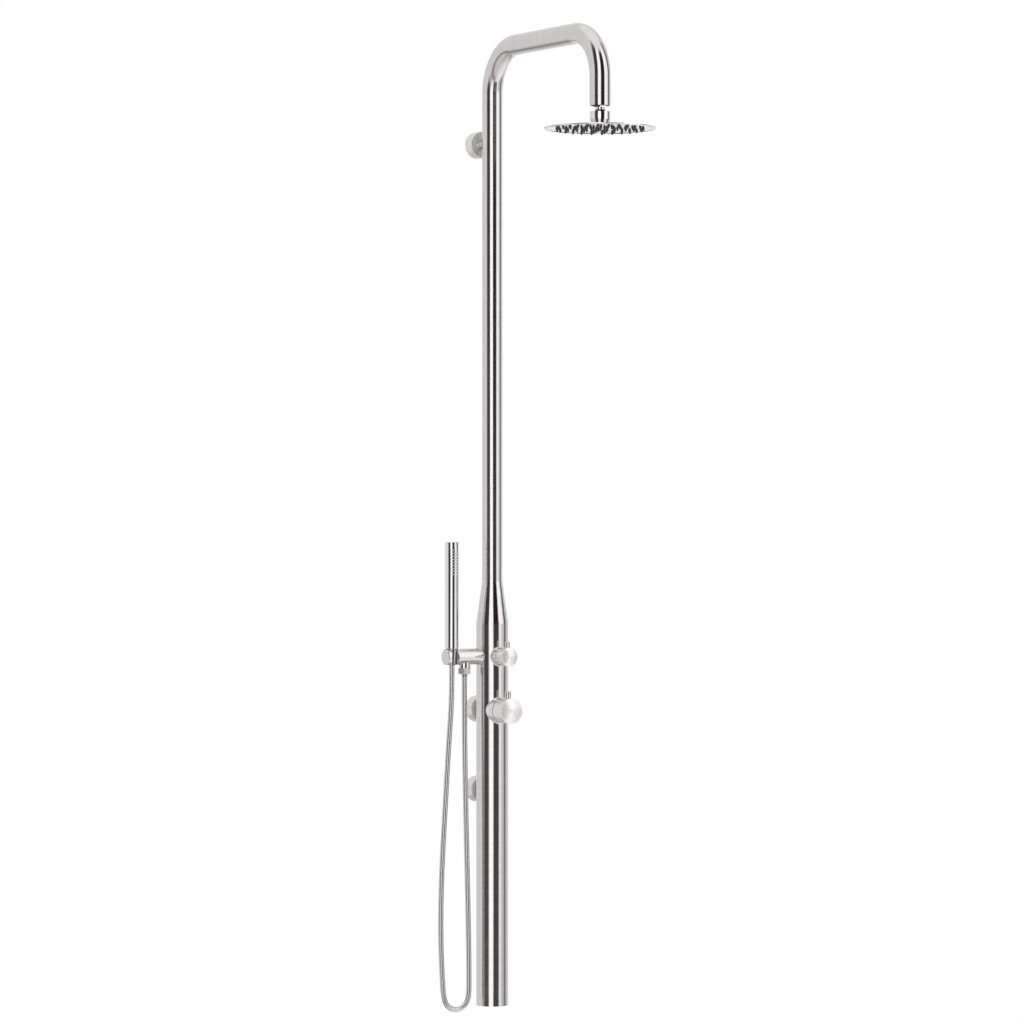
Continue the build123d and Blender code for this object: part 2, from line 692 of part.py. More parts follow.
slot_plan = make_face(Polyline(
    spot(seat_x - SLOT_HALF, 0, HOLDER_FOOT - past_bar),
    spot(seat_x + SLOT_HALF, 0, HOLDER_FOOT - past_bar),
    spot(seat_x + SLOT_HALF, flare_start, HOLDER_FOOT - past_bar),
    spot(seat_x + mouth_half, HOLDER_R + past_bar, HOLDER_FOOT - past_bar),
    spot(seat_x - mouth_half, HOLDER_R + past_bar, HOLDER_FOOT - past_bar),
    spot(seat_x - SLOT_HALF, flare_start, HOLDER_FOOT - past_bar),
    close=True,
))
slot_cut = extrude(slot_plan, amount=2 * (HOLDER_R + past_bar), dir=UP)
outlet_hole = rod(
    OUTLET_PLUG_R, spot(-OUTLET_X, 0, HOLDER_FOOT - 1), spot(-OUTLET_X, 0, DIVERTER_HEIGHT - 3)
)
parts["holder_arm"] = holder - seat_cut - slot_cut - hand_bore - outlet_hole

outlet_top = DIVERTER_HEIGHT - 6
lip_top = UNION_NUT_FOOT + UNION_NUT_LIP
outlet_thread_end = lip_top + FERRULE_FLANGE + WASHER_THICKNESS


def on_outlet(height):
    """A point of the outlet's axis."""
    return spot(-OUTLET_X, 0, height)


# The collar's top follows the round underside of the arm, and the plug goes up into the arm
collar = rod(OUTLET_COLLAR_R, on_outlet(OUTLET_COLLAR_FOOT), on_outlet(DIVERTER_HEIGHT))
collar = collar - rod(
    HOLDER_R, spot(0, 0, DIVERTER_HEIGHT), spot(-HOLDER_END, 0, DIVERTER_HEIGHT)
)
outlet = collar + rod(OUTLET_PLUG_R, on_outlet(OUTLET_COLLAR_FOOT + 1), on_outlet(outlet_top))
outlet = outlet + rod(
    OUTLET_THREAD_R, on_outlet(outlet_thread_end), on_outlet(OUTLET_COLLAR_FOOT)
)
parts["outlet_nipple"] = outlet - rod(
    OUTLET_BORE_R, on_outlet(outlet_thread_end), on_outlet(outlet_top)
)

# Hose with its nuts, ferrules and washers
union_nut = hexagon(UNION_NUT_AF, on_outlet(UNION_NUT_FOOT), UP, UNION_NUT_HEIGHT)
union_nut = union_nut - rod(
    OUTLET_THREAD_R, on_outlet(lip_top), on_outlet(OUTLET_COLLAR_FOOT)
)
parts["hose_union_nut"] = union_nut - rod(
    FERRULE_R, on_outlet(UNION_NUT_FOOT), on_outlet(lip_top)
)
parts["lower_ferrule"] = turned(
    [
        (OUTLET_BORE_R - 1, HOSE_START_Z),
        (FERRULE_R, HOSE_START_Z),
        (FERRULE_R, lip_top),
        (OUTLET_THREAD_R, lip_top),
        (OUTLET_THREAD_R, lip_top + FERRULE_FLANGE),
        (OUTLET_BORE_R - 1, lip_top + FERRULE_FLANGE),
    ],
    on_outlet(0),
    UP,
)
parts["lower_hose_washer"] = pipe(
    OUTLET_THREAD_R,
    OUTLET_BORE_R,
    on_outlet(lip_top + FERRULE_FLANGE),
    on_outlet(outlet_thread_end),
)

thread_foot = CONE_TOP_Z - CONE_THREAD_DEPTH
swivel_gap = 0.3
parts["cone_nut"] = turned(
    [
        (FERRULE_R + swivel_gap, CONE_FOOT_Z),
        (CONE_FOOT_R, CONE_FOOT_Z),
        (CONE_TOP_R, CONE_TOP_Z),
        (CONE_THREAD_R, CONE_TOP_Z),
        (CONE_THREAD_R, thread_foot),
        (FERRULE_R + swivel_gap, thread_foot),
    ],
    spot(seat_x, 0, 0),
    UP,
)
flange_foot = thread_foot + swivel_gap
flange_top = flange_foot + FERRULE_FLANGE
parts["upper_ferrule"] = turned(
    [
        (OUTLET_BORE_R - 1, HOSE_END_Z),
        (FERRULE_R, HOSE_END_Z),
        (FERRULE_R, flange_foot),
        (CONE_THREAD_R - swivel_gap, flange_foot),
        (CONE_THREAD_R - swivel_gap, flange_top),
        (OUTLET_BORE_R - 1, flange_top),
    ],
    spot(seat_x, 0, 0),
    UP,
)
washer_foot = flange_top + swivel_gap
washer_top = washer_foot + WASHER_THICKNESS
parts["upper_hose_washer"] = pipe(
    CONE_THREAD_R,
    OUTLET_BORE_R,
    spot(seat_x, 0, washer_foot),
    spot(seat_x, 0, washer_top),
)

hose_points = [on_outlet(HOSE_START_Z)]
for left, forward, height in HOSE_INNER_POINTS:
    hose_points.append(spot(-left, forward, height))
hose_points.append(spot(seat_x, 0, HOSE_END_Z))
hose_runs = [b - a for a, b in zip(hose_points, hose_points[1:])]
hose_radii = []
for before, after in zip(hose_runs, hose_runs[1:]):
    turn = math.radians(before.get_angle(after))
    hose_radii.append(0.45 * min(before.length, after.length) / math.tan(turn / 2))
hose_path = FilletPolyline(*hose_points, radius=hose_radii)
hose_start = Plane(origin=hose_points[0], z_dir=hose_runs[0])
parts["hose"] = sweep(hose_start * Circle(HOSE_R), path=hose_path)
print("hose length", round(hose_path.length, 1))

# Hand shower
handset_axis = spot(seat_x, 0, 0)
cap_foot = STICK_TOP - STICK_CAP
plug_foot = cap_foot - STICK_CAP_PLUG
stick_bore = STICK_R - STICK_WALL
parts["handset_body"] = turned(
    [
        (OUTLET_BORE_R, washer_top),
        (CONE_THREAD_R, washer_top),
        (CONE_THREAD_R, CONE_TOP_Z),
        (STICK_R - 0.5, CONE_TOP_Z),
        (STICK_R, CONE_TOP_Z + 0.5),
        (STICK_R, cap_foot),
        (stick_bore, cap_foot),
        (stick_bore, CONE_TOP_Z + 8),
        (OUTLET_BORE_R, CONE_TOP_Z + 4),
    ],
    handset_axis,
    UP,
)
parts["handset_cap"] = turned(
    [
        (0, plug_foot),
        (stick_bore, plug_foot),
        (stick_bore, cap_foot),
        (STICK_R, cap_foot),
        (STICK_R, STICK_TOP - 0.7),
        (STICK_R - 0.7, STICK_TOP),
        (0, STICK_TOP),
    ],
    handset_axis,
    UP,
)
spray_top = STICK_TOP - SPRAY_TOP_BELOW_CAP
spray_foot = spray_top - SPRAY_LENGTH
spray_middle = (spray_top + spray_foot) / 2
pad_inner = stick_bore - SPRAY_PAD
pad_plane = Plane(origin=spot(seat_x, 0, spray_middle), x_dir=(1, 0, 0), z_dir=FORWARD)
pad_outline = RectangleRounded(2 * SPRAY_HALF_WIDTH, SPRAY_LENGTH, SPRAY_HALF_WIDTH / 2)
spray_pad = pipe(
    stick_bore, pad_inner, spot(seat_x, 0, spray_foot), spot(seat_x, 0, spray_top)
) & extrude(pad_plane * pad_outline, STICK_R)
first_row = spray_middle - SPRAY_PITCH * (SPRAY_ROWS - 1) / 2
spray_holes = []
spray_nozzles = []
for row in range(SPRAY_ROWS):
    for angle in SPRAY_COLUMN_ANGLES:
        turn = math.radians(angle)
        outward = Vector(math.sin(turn), -math.cos(turn), 0)
        origin = spot(seat_x, 0, first_row + row * SPRAY_PITCH)
        spray_holes.append(rod(
            SPRAY_NOZZLE_R, origin + outward * (stick_bore - 1), origin + outward * (STICK_R + 1)
        ))
        spray_nozzles.append(turned(
            [
                (0, pad_inner + SPRAY_PAD / 2),
                (SPRAY_NOZZLE_R, pad_inner + SPRAY_PAD / 2),
                (SPRAY_NOZZLE_R, STICK_R),
                (SPRAY_NOZZLE_TIP_R, STICK_R + SPRAY_NOZZLE_STAND),
                (0, STICK_R + SPRAY_NOZZLE_STAND),
            ],
            origin,
            outward,
        ))
parts["handset_body"] -= spray_holes
parts["spray_insert"] = spray_pad + spray_nozzles

# Arm end bush and ball nipple
head_axis = spot(0, ARM_REACH, 0)
bush_r = RISER_R - TUBE_WALL
parts["arm_end_bush"] = turned(
    [
        (NIPPLE_THREAD_R, DROP_END),
        (bush_r, DROP_END),
        (bush_r, bush_top),
        (PIPE_R, bush_top),
        (PIPE_R, seal_top),
        (NIPPLE_THREAD_R, seal_top),
    ],
    head_axis,
    UP,
)
parts["nipple_seal"] = pipe(
    NIPPLE_THREAD_R,
    PIPE_R - PIPE_WALL,
    spot(0, ARM_REACH, seal_foot),
    spot(0, ARM_REACH, seal_top),
)
hex_foot = DROP_END - HEX_HEIGHT
ball = Sphere(BALL_R).moved(Location(spot(0, ARM_REACH, BALL_Z)))
nipple = ball + rod(NECK_R, spot(0, ARM_REACH, BALL_Z), spot(0, ARM_REACH, hex_foot))
nipple = nipple + hexagon(HEX_AF, spot(0, ARM_REACH, hex_foot), UP, HEX_HEIGHT)
nipple = nipple + rod(
    NIPPLE_THREAD_R, spot(0, ARM_REACH, DROP_END), spot(0, ARM_REACH, DROP_END + NIPPLE_THREAD)
)
nipple = nipple - rod(
    NIPPLE_BORE_R,
    spot(0, ARM_REACH, BALL_Z - BALL_R),
    spot(0, ARM_REACH, DROP_END + NIPPLE_THREAD),
)
parts["ball_nipple"] = nipple

# Swivel joint of the head: ball, seat ring and socket share one centre
ball_centre = spot(0, ARM_REACH, BALL_Z)


def ball_shape(radius):
    """A sphere about the swivel's centre."""
    return Sphere(radius).moved(Location(ball_centre))


ring_span = rod(
    SEAT_RING_R + 1,
    spot(0, ARM_REACH, BALL_Z - SEAT_RING_DROP),
    spot(0, ARM_REACH, BALL_Z + SEAT_RING_RISE),
)
parts["ball_seat_ring"] = (ball_shape(SEAT_RING_R) & ring_span) - ball_shape(BALL_R + BALL_GAP)

collar_top = BALL_Z + COLLAR_RISE
collar_foot = BALL_Z - COLLAR_DROP
collar = turned(
    [
        (0, collar_foot),
        (HUB_R, collar_foot),
        (COLLAR_R, collar_foot + COLLAR_TAPER),
        (COLLAR_R, collar_top - COLLAR_EDGE),
        (COLLAR_R - COLLAR_EDGE, collar_top),
        (0, collar_top),
    ],
    head_axis,
    UP,
)
thread_top = collar_foot + COLLAR_THREAD
collar = collar - ball_shape(SOCKET_R)
parts["swivel_collar"] = collar - rod(
    COLLAR_THREAD_R, spot(0, ARM_REACH, collar_foot), spot(0, ARM_REACH, thread_top)
)
hub = turned(
    [
        (OUTLET_BORE_R, HUB_FOOT),
        (HUB_R, HUB_FOOT),
        (HUB_R, collar_foot),
        (COLLAR_THREAD_R, collar_foot),
        (COLLAR_THREAD_R, thread_top),
        (OUTLET_BORE_R, thread_top),
    ],
    head_axis,
    UP,
)
parts["head_hub"] = hub - ball_shape(SOCKET_R)
parts["flow_restrictor"] = pipe(
    OUTLET_BORE_R,
    1.5,
    spot(0, ARM_REACH, HUB_FOOT),
    spot(0, ARM_REACH, HUB_FOOT + 2.5),
)

# Head plates: the top plate is a shallow dish, closed below by the spray plate
rim_r = HEAD_R - HEAD_RIM
parts["head_top_plate"] = turned(
    [
        (OUTLET_BORE_R, HUB_FOOT),
        (HUB_R + 2, HUB_FOOT),
        (HEAD_R - 4, PLATE_TOP + 0.2),
        (HEAD_R - 0.6, PLATE_TOP - 0.2),
        (HEAD_R, PLATE_TOP - 0.8),
        (HEAD_R, HEAD_UNDERSIDE + RIM_CHAMFER),
        (HEAD_R - RIM_CHAMFER, HEAD_UNDERSIDE),
        (rim_r, HEAD_UNDERSIDE),
        (rim_r, HEAD_UNDERSIDE + HEAD_PLATE),
        (HUB_R + 2, HUB_FOOT - HEAD_PLATE),
        (OUTLET_BORE_R, HUB_FOOT - HEAD_PLATE),
    ],
    head_axis,
    UP,
)
spray_plate = rod(
    rim_r, spot(0, ARM_REACH, HEAD_UNDERSIDE), spot(0, ARM_REACH, HEAD_UNDERSIDE + HEAD_PLATE)
)
mat_foot = HEAD_UNDERSIDE + HEAD_PLATE
nozzle_places = [(0.0, 0.0)]
for ring, count in enumerate(NOZZLE_COUNTS, 1):
    ring_r = ring * NOZZLE_RING_STEP
    for index in range(count):
        angle = 2 * math.pi * index / count
        nozzle_places.append((ring_r * math.cos(angle), ring_r * math.sin(angle)))
nozzle_holes = []
nozzle_cones = []
for right, forward in nozzle_places:
    place = spot(right, ARM_REACH + forward, 0)
    nozzle_holes.append(rod(
        NOZZLE_R, place + UP * (HEAD_UNDERSIDE - 1), place + UP * (mat_foot + 1)
    ))
    nozzle_cones.append(turned(
        [
            (0, HEAD_UNDERSIDE - NOZZLE_STAND),
            (NOZZLE_TIP_R, HEAD_UNDERSIDE - NOZZLE_STAND),
            (NOZZLE_R, HEAD_UNDERSIDE),
            (NOZZLE_R, mat_foot + NOZZLE_MAT / 2),
            (0, mat_foot + NOZZLE_MAT / 2),
        ],
        place,
        UP,
    ))
parts["head_spray_plate"] = spray_plate - nozzle_holes
mat = rod(
    NOZZLE_MAT_R, spot(0, ARM_REACH, mat_foot), spot(0, ARM_REACH, mat_foot + NOZZLE_MAT)
)
parts["nozzle_mat"] = mat + nozzle_cones

for node, shape in parts.items():
    export_step(shape, "parts/" + node + ".step")
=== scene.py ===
"""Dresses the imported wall-mounted shower column: finishes, hose, nozzles, threads and stage.

The frame is in metres: the origin is the lower inlet on the wall, X runs along the wall, -Y comes
forward to the bather and Z is up.
"""

import math

import bmesh
import bpy
from bpy.props import FloatProperty, FloatVectorProperty, IntProperty, PointerProperty
from mathutils import Matrix, Vector


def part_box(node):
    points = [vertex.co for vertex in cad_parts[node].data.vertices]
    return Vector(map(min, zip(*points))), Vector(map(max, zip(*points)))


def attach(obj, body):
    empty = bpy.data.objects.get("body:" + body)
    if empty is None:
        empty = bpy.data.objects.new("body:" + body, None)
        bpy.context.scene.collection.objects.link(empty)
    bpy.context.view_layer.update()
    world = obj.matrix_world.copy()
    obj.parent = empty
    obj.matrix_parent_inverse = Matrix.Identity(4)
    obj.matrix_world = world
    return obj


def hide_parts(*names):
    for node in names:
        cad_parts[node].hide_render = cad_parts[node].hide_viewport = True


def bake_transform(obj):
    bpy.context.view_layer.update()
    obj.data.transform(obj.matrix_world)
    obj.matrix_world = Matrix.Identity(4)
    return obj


bl_info = {
    "name": "Wall Shower Column",
    "version": (1, 0, 0),
    "blender": (4, 5, 0),
    "location": "3D View > Sidebar > Shower",
    "description": "Builds the looks of a wall-mounted shower column round its fixed frame",
    "category": "Object",
}

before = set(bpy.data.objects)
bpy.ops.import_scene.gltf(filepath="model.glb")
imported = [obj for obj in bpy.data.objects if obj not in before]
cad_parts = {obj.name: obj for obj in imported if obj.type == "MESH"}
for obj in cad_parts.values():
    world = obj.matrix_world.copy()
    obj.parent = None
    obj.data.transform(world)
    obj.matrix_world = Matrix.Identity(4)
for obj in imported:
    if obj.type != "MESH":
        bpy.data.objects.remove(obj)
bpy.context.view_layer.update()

MM = 0.001
X_AXIS = Vector((1, 0, 0))
Y_AXIS = Vector((0, 1, 0))
Z_AXIS = Vector((0, 0, 1))

# Control points of the hose's line, from the union nut under the arm to the conical nut
HOSE_ROUTE = (
    (-0.0600, -0.0580, 0.2130),
    (-0.0600, -0.0580, 0.1180),
    (-0.0597, -0.0610, 0.0000),
    (-0.0579, -0.0635, -0.1250),
    (-0.0553, -0.0645, -0.2520),
    (-0.0537, -0.0640, -0.3420),
    (-0.0540, -0.0635, -0.3870),
    (-0.0696, -0.0630, -0.4034),
    (-0.0911, -0.0625, -0.4034),
    (-0.1068, -0.0625, -0.3876),
    (-0.1107, -0.0630, -0.3430),
    (-0.1152, -0.0645, -0.2560),
    (-0.1132, -0.0655, -0.1460),
    (-0.1048, -0.0640, -0.0280),
    (-0.0950, -0.0605, 0.0920),
    (-0.0870, -0.0580, 0.1720),
    (-0.0870, -0.0580, 0.2340),
)

# What polished metal sees round it: degrees round the object from the front, then the light
# far under the horizon, just under it and just over it, as shares of the brightest box.
# White soft boxes stand between dark flags
STUDIO_BANDS = (
    (-180, 0.57, 0.57, 0.57),
    (-108, 0.57, 0.57, 0.57),
    (-76, 0.57, 0.62, 0.62),
    (-63, 0.53, 0.52, 0.5),
    (-57, 0.45, 0.05, 0.03),
    (-27, 0.40, 0.05, 0.03),
    (-20, 0.70, 0.98, 0.98),
    (5, 0.70, 0.98, 0.98),
    (10, 0.05, 0.05, 0.008),
    (46, 0.06, 0.06, 0.008),
    (52, 0.8, 0.8, 0.95),
    (63, 0.74, 0.74, 0.95),
    (69, 0.5, 0.5, 0.9),
    (88, 0.44, 0.44, 0.8),
    (96, 0.16, 0.16, 0.1),
    (110, 0.18, 0.18, 0.06),
    (118, 0.52, 0.52, 0.5),
    (150, 0.57, 0.57, 0.57),
    (180, 0.57, 0.57, 0.57),
)


def span(node):
    """Lowest corner, highest corner and middle of a node."""
    low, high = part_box(node)
    return low, high, (low + high) / 2


class ShowerSizes(bpy.types.PropertyGroup):
    """Sizes of the details that are added to the frame."""

    bend_radius: FloatProperty(
        name="Arm bend", description="Centre-line radius of the riser's bends",
        default=85 * MM, unit="LENGTH",
    )
    hose_radius: FloatProperty(
        name="Hose radius", description="Outer radius of the hose", default=5 * MM,
        unit="LENGTH",
    )
    thread_pitch: FloatProperty(
        name="Pipe thread pitch", description="Pitch of the inlet threads", default=1.814 * MM,
        unit="LENGTH",
    )
    thread_depth: FloatProperty(
        name="Pipe thread depth", description="Depth of the inlet threads", default=1.16 * MM,
        unit="LENGTH",
    )
    stud_pitch: FloatProperty(
        name="Stud pitch", description="Pitch of the wall stud's thread", default=1.25 * MM,
        unit="LENGTH",
    )
    edge_ease: FloatProperty(
        name="Edge ease", description="Rounding of turned edges", default=0.6 * MM,
        unit="LENGTH",
    )
    nozzle_radius: FloatProperty(
        name="Nozzle radius", description="Radius of a head nozzle at the plate",
        default=2.2 * MM, unit="LENGTH",
    )
    nozzle_tip: FloatProperty(
        name="Nozzle tip radius", description="Radius of a head nozzle at its tip",
        default=1.5 * MM, unit="LENGTH",
    )
    knob_dome: FloatProperty(
        name="Knob dome", description="Rise of a knob's front from its edge to its middle",
        default=2.8 * MM, unit="LENGTH",
    )
    rim_chamfer: FloatProperty(
        name="Rim chamfer", description="Chamfer under the rain head's rim",
        default=1.3 * MM, unit="LENGTH",
    )
    round_steps: IntProperty(
        name="Round steps", description="Facets round a turned piece", default=96, min=24,
    )


class ShowerLooks(bpy.types.PropertyGroup):
    """Colours and finishes."""

    steel: FloatVectorProperty(
        name="Stainless steel", description="Colour of the brushed tubes", subtype="COLOR",
        size=3, default=(0.64, 0.615, 0.61), min=0, max=1,
    )
    bright_steel: FloatVectorProperty(
        name="Polished steel", description="Colour of the polished pieces", subtype="COLOR",
        size=3, default=(0.72, 0.705, 0.70), min=0, max=1,
    )
    nickel: FloatVectorProperty(
        name="Nickel plate", description="Colour of the hose's nuts and ferrules",
        subtype="COLOR", size=3, default=(0.44, 0.43, 0.44), min=0, max=1,
    )
    hose_silver: FloatVectorProperty(
        name="Hose silver", description="Colour of the hose's foil", subtype="COLOR", size=3,
        default=(0.58, 0.57, 0.57), min=0, max=1,
    )
    nozzle_grey: FloatVectorProperty(
        name="Nozzle silicone", description="Colour of the head's nozzles", subtype="COLOR",
        size=3, default=(0.035, 0.032, 0.035), min=0, max=1,
    )
    tube_roughness: FloatProperty(
        name="Tube roughness", description="Roughness of the brushed tubes", default=0.13,
        min=0, max=1, subtype="FACTOR",
    )
    face_roughness: FloatProperty(
        name="Turned roughness", description="Roughness of the turned faces", default=0.2,
        min=0, max=1, subtype="FACTOR",
    )


class StageSettings(bpy.types.PropertyGroup):
    """Camera, floor and light."""

    view_turn: FloatProperty(
        name="View turn", description="Camera's turn to the left of the object's front",
        default=math.radians(31), subtype="ANGLE",
    )
    camera_distance: FloatProperty(
        name="Camera distance", description="Camera to the aim point, on the ground plan",
        default=7.670, unit="LENGTH",
    )
    camera_height: FloatProperty(
        name="Camera height", description="Camera over the lower inlet", default=0.5185,
        unit="LENGTH",
    )
    camera_side: FloatProperty(
        name="Camera side step", description="Camera's step to the right of the aim line",
        default=0.0369, unit="LENGTH",
    )
    focal_length: FloatProperty(
        name="Focal length", description="Lens on a 36 mm sensor", default=144.67,
    )
    floor_depth: FloatProperty(
        name="Floor depth", description="Floor under the lower inlet", default=0.95,
        unit="LENGTH",
    )
    floor_radius: FloatProperty(
        name="Floor radius", description="Radius of the floor disc", default=3.0,
        unit="LENGTH",
    )


def sizes():
    """The size settings of this scene."""
    return bpy.context.scene.shower_sizes


def looks():
    """The finish settings of this scene."""
    return bpy.context.scene.shower_looks


# Shader helpers
def link(tree, source, target):
    """Joins two sockets."""
    tree.links.new(source, target)


def add_node(tree, kind, **values):
    """A shader node with its properties set."""
    node = tree.nodes.new(kind)
    for key, value in values.items():
        setattr(node, key, value)
    return node


def calc(tree, operation, first, second=None, third=None):
    """A math node on sockets or numbers; gives its output."""
    node = add_node(tree, "ShaderNodeMath", operation=operation)
    for index, value in enumerate((first, second, third)):
        if value is None:
            continue
        if isinstance(value, (int, float)):
            node.inputs[index].default_value = value
        else:
            link(tree, value, node.inputs[index])
    return node.outputs[0]


def ranged(tree, value, low, high):
    """Maps a value of 0 to 1 to the range low to high."""
    node = add_node(tree, "ShaderNodeMapRange")
    link(tree, value, node.inputs["Value"])
    node.inputs["To Min"].default_value = low
    node.inputs["To Max"].default_value = high
    return node.outputs["Result"]


def tinted(tree, mask, colour, other):
    """A colour that goes over to another one by a mask."""
    node = add_node(tree, "ShaderNodeMix", data_type="RGBA")
    link(tree, mask, node.inputs["Factor"])
    node.inputs["A"].default_value = (*colour, 1)
    node.inputs["B"].default_value = (*other, 1)
    return node.outputs["Result"]


def shaded(colour, factor):
    """The colour made lighter or darker."""
    return tuple(min(1.0, part * factor) for part in colour)


def new_group(name, inputs, outputs):
    """An empty shader node group with named sockets."""
    group = bpy.data.node_groups.new(name, "ShaderNodeTree")
    for socket, kind, default in inputs:
        made = group.interface.new_socket(name=socket, in_out="INPUT", socket_type=kind)
        if default is not None:
            made.default_value = default
    for socket, kind in outputs:
        group.interface.new_socket(name=socket, in_out="OUTPUT", socket_type=kind)
    return group, group.nodes.new("NodeGroupInput"), group.nodes.new("NodeGroupOutput")


def grain_group():
    """Fine brush strokes: noise on coordinates that the material stretches along the stroke."""
    name = "Brush strokes"
    if name in bpy.data.node_groups:
        return bpy.data.node_groups[name]
    group, start, end = new_group(
        name,
        [("Vector", "NodeSocketVector", None)],
        [("Streak", "NodeSocketFloat"), ("Patches", "NodeSocketFloat")],
    )
    fine = add_node(group, "ShaderNodeTexNoise")
    fine.inputs["Scale"].default_value = 1
    fine.inputs["Detail"].default_value = 3
    fine.inputs["Roughness"].default_value = 0.7
    wide = add_node(group, "ShaderNodeTexNoise")
    wide.inputs["Scale"].default_value = 0.06
    wide.inputs["Detail"].default_value = 2
    link(group, start.outputs["Vector"], fine.inputs["Vector"])
    link(group, start.outputs["Vector"], wide.inputs["Vector"])
    link(group, fine.outputs["Fac"], end.inputs["Streak"])
    link(group, wide.outputs["Fac"], end.inputs["Patches"])
    return group


def lathe_group():
    """Turned rings: two scales of rings by the distance along the turned outline."""
    name = "Lathe rings"
    if name in bpy.data.node_groups:
        return bpy.data.node_groups[name]
    group, start, end = new_group(
        name,
        [("Distance", "NodeSocketFloat", 0.0), ("Fineness", "NodeSocketFloat", 3000.0)],
        [("Rings", "NodeSocketFloat"), ("Wide rings", "NodeSocketFloat")],
    )
    for output, share in (("Rings", 1.0), ("Wide rings", 0.12)):
        noise = add_node(group, "ShaderNodeTexNoise", noise_dimensions="1D")
        noise.inputs["Scale"].default_value = 1
        noise.inputs["Detail"].default_value = 3
        fineness = calc(group, "MULTIPLY", start.outputs["Fineness"], share)
        place = calc(group, "MULTIPLY", start.outputs["Distance"], fineness)
        link(group, place, noise.inputs["W"])
        link(group, noise.outputs["Fac"], end.inputs[output])
    return group


def axis_group():
    """Distance from a turning axis, plus the way along it, for pieces without an unwrap."""
    name = "Way along a turned outline"
    if name in bpy.data.node_groups:
        return bpy.data.node_groups[name]
    group, start, end = new_group(
        name,
        [("Centre", "NodeSocketVector", (0, 0, 0)), ("Axis", "NodeSocketVector", (0, 0, 1))],
        [("Distance", "NodeSocketFloat")],
    )
    place = add_node(group, "ShaderNodeTexCoord")
    offset = add_node(group, "ShaderNodeVectorMath", operation="SUBTRACT")
    link(group, place.outputs["Object"], offset.inputs[0])
    link(group, start.outputs["Centre"], offset.inputs[1])
    along = add_node(group, "ShaderNodeVectorMath", operation="DOT_PRODUCT")
    link(group, offset.outputs[0], along.inputs[0])
    link(group, start.outputs["Axis"], along.inputs[1])
    across = add_node(group, "ShaderNodeVectorMath", operation="CROSS_PRODUCT")
    link(group, offset.outputs[0], across.inputs[0])
    link(group, start.outputs["Axis"], across.inputs[1])
    radial = add_node(group, "ShaderNodeVectorMath", operation="LENGTH")
    link(group, across.outputs[0], radial.inputs[0])
    link(group, calc(group, "ADD", radial.outputs["Value"], along.outputs["Value"]),
         end.inputs["Distance"])
    return group


def handling_group():
    """Faint wipe marks and water haze over a metal surface."""
    name = "Handling marks"
    if name in bpy.data.node_groups:
        return bpy.data.node_groups[name]
    group, start, end = new_group(
        name,
        [("Size", "NodeSocketFloat", 30.0)],
        [("Marks", "NodeSocketFloat"), ("Haze", "NodeSocketFloat")],
    )
    place = add_node(group, "ShaderNodeTexCoord")
    for output, share, low, high in (("Marks", 1.0, 0.48, 0.72), ("Haze", 0.25, 0.3, 0.8)):
        noise = add_node(group, "ShaderNodeTexNoise")
        noise.inputs["Detail"].default_value = 5
        noise.inputs["Roughness"].default_value = 0.6
        link(group, place.outputs["Object"], noise.inputs["Vector"])
        link(group, calc(group, "MULTIPLY", start.outputs["Size"], share), noise.inputs["Scale"])
        sharp = add_node(group, "ShaderNodeMapRange", interpolation_type="SMOOTHSTEP")
        sharp.inputs["From Min"].default_value = low
        sharp.inputs["From Max"].default_value = high
        link(group, noise.outputs["Fac"], sharp.inputs["Value"])
        link(group, sharp.outputs["Result"], end.inputs[output])
    return group


def new_material(name):
    """A material with a Principled shader; gives the material, its tree and the shader."""
    material = bpy.data.materials.new(name)
    material.use_nodes = True
    tree = material.node_tree
    return material, tree, tree.nodes["Principled BSDF"]


def placed(tree, group):
    """One use of a node group in a material."""
    return add_node(tree, "ShaderNodeGroup", node_tree=group)


def bumped(tree, shader, height, distance, strength=1.0):
    """Feeds a height to the shader's normal."""
    bump = add_node(tree, "ShaderNodeBump")
    bump.inputs["Strength"].default_value = strength
    bump.inputs["Distance"].default_value = distance
    link(tree, height, bump.inputs["Height"])
    link(tree, bump.outputs["Normal"], shader.inputs["Normal"])


def metal(name, colour, roughness, spread=0.06, shade=0.9):
    """Bare metal whose roughness and shade change with faint handling marks."""
    material, tree, shader = new_material(name)
    marks = placed(tree, handling_group())
    shader.inputs["Metallic"].default_value = 1
    link(tree, tinted(tree, marks.outputs["Haze"], colour, shaded(colour, shade)),
         shader.inputs["Base Color"])
    link(tree, ranged(tree, marks.outputs["Marks"], roughness, roughness + spread),
         shader.inputs["Roughness"])
    return material, tree, shader


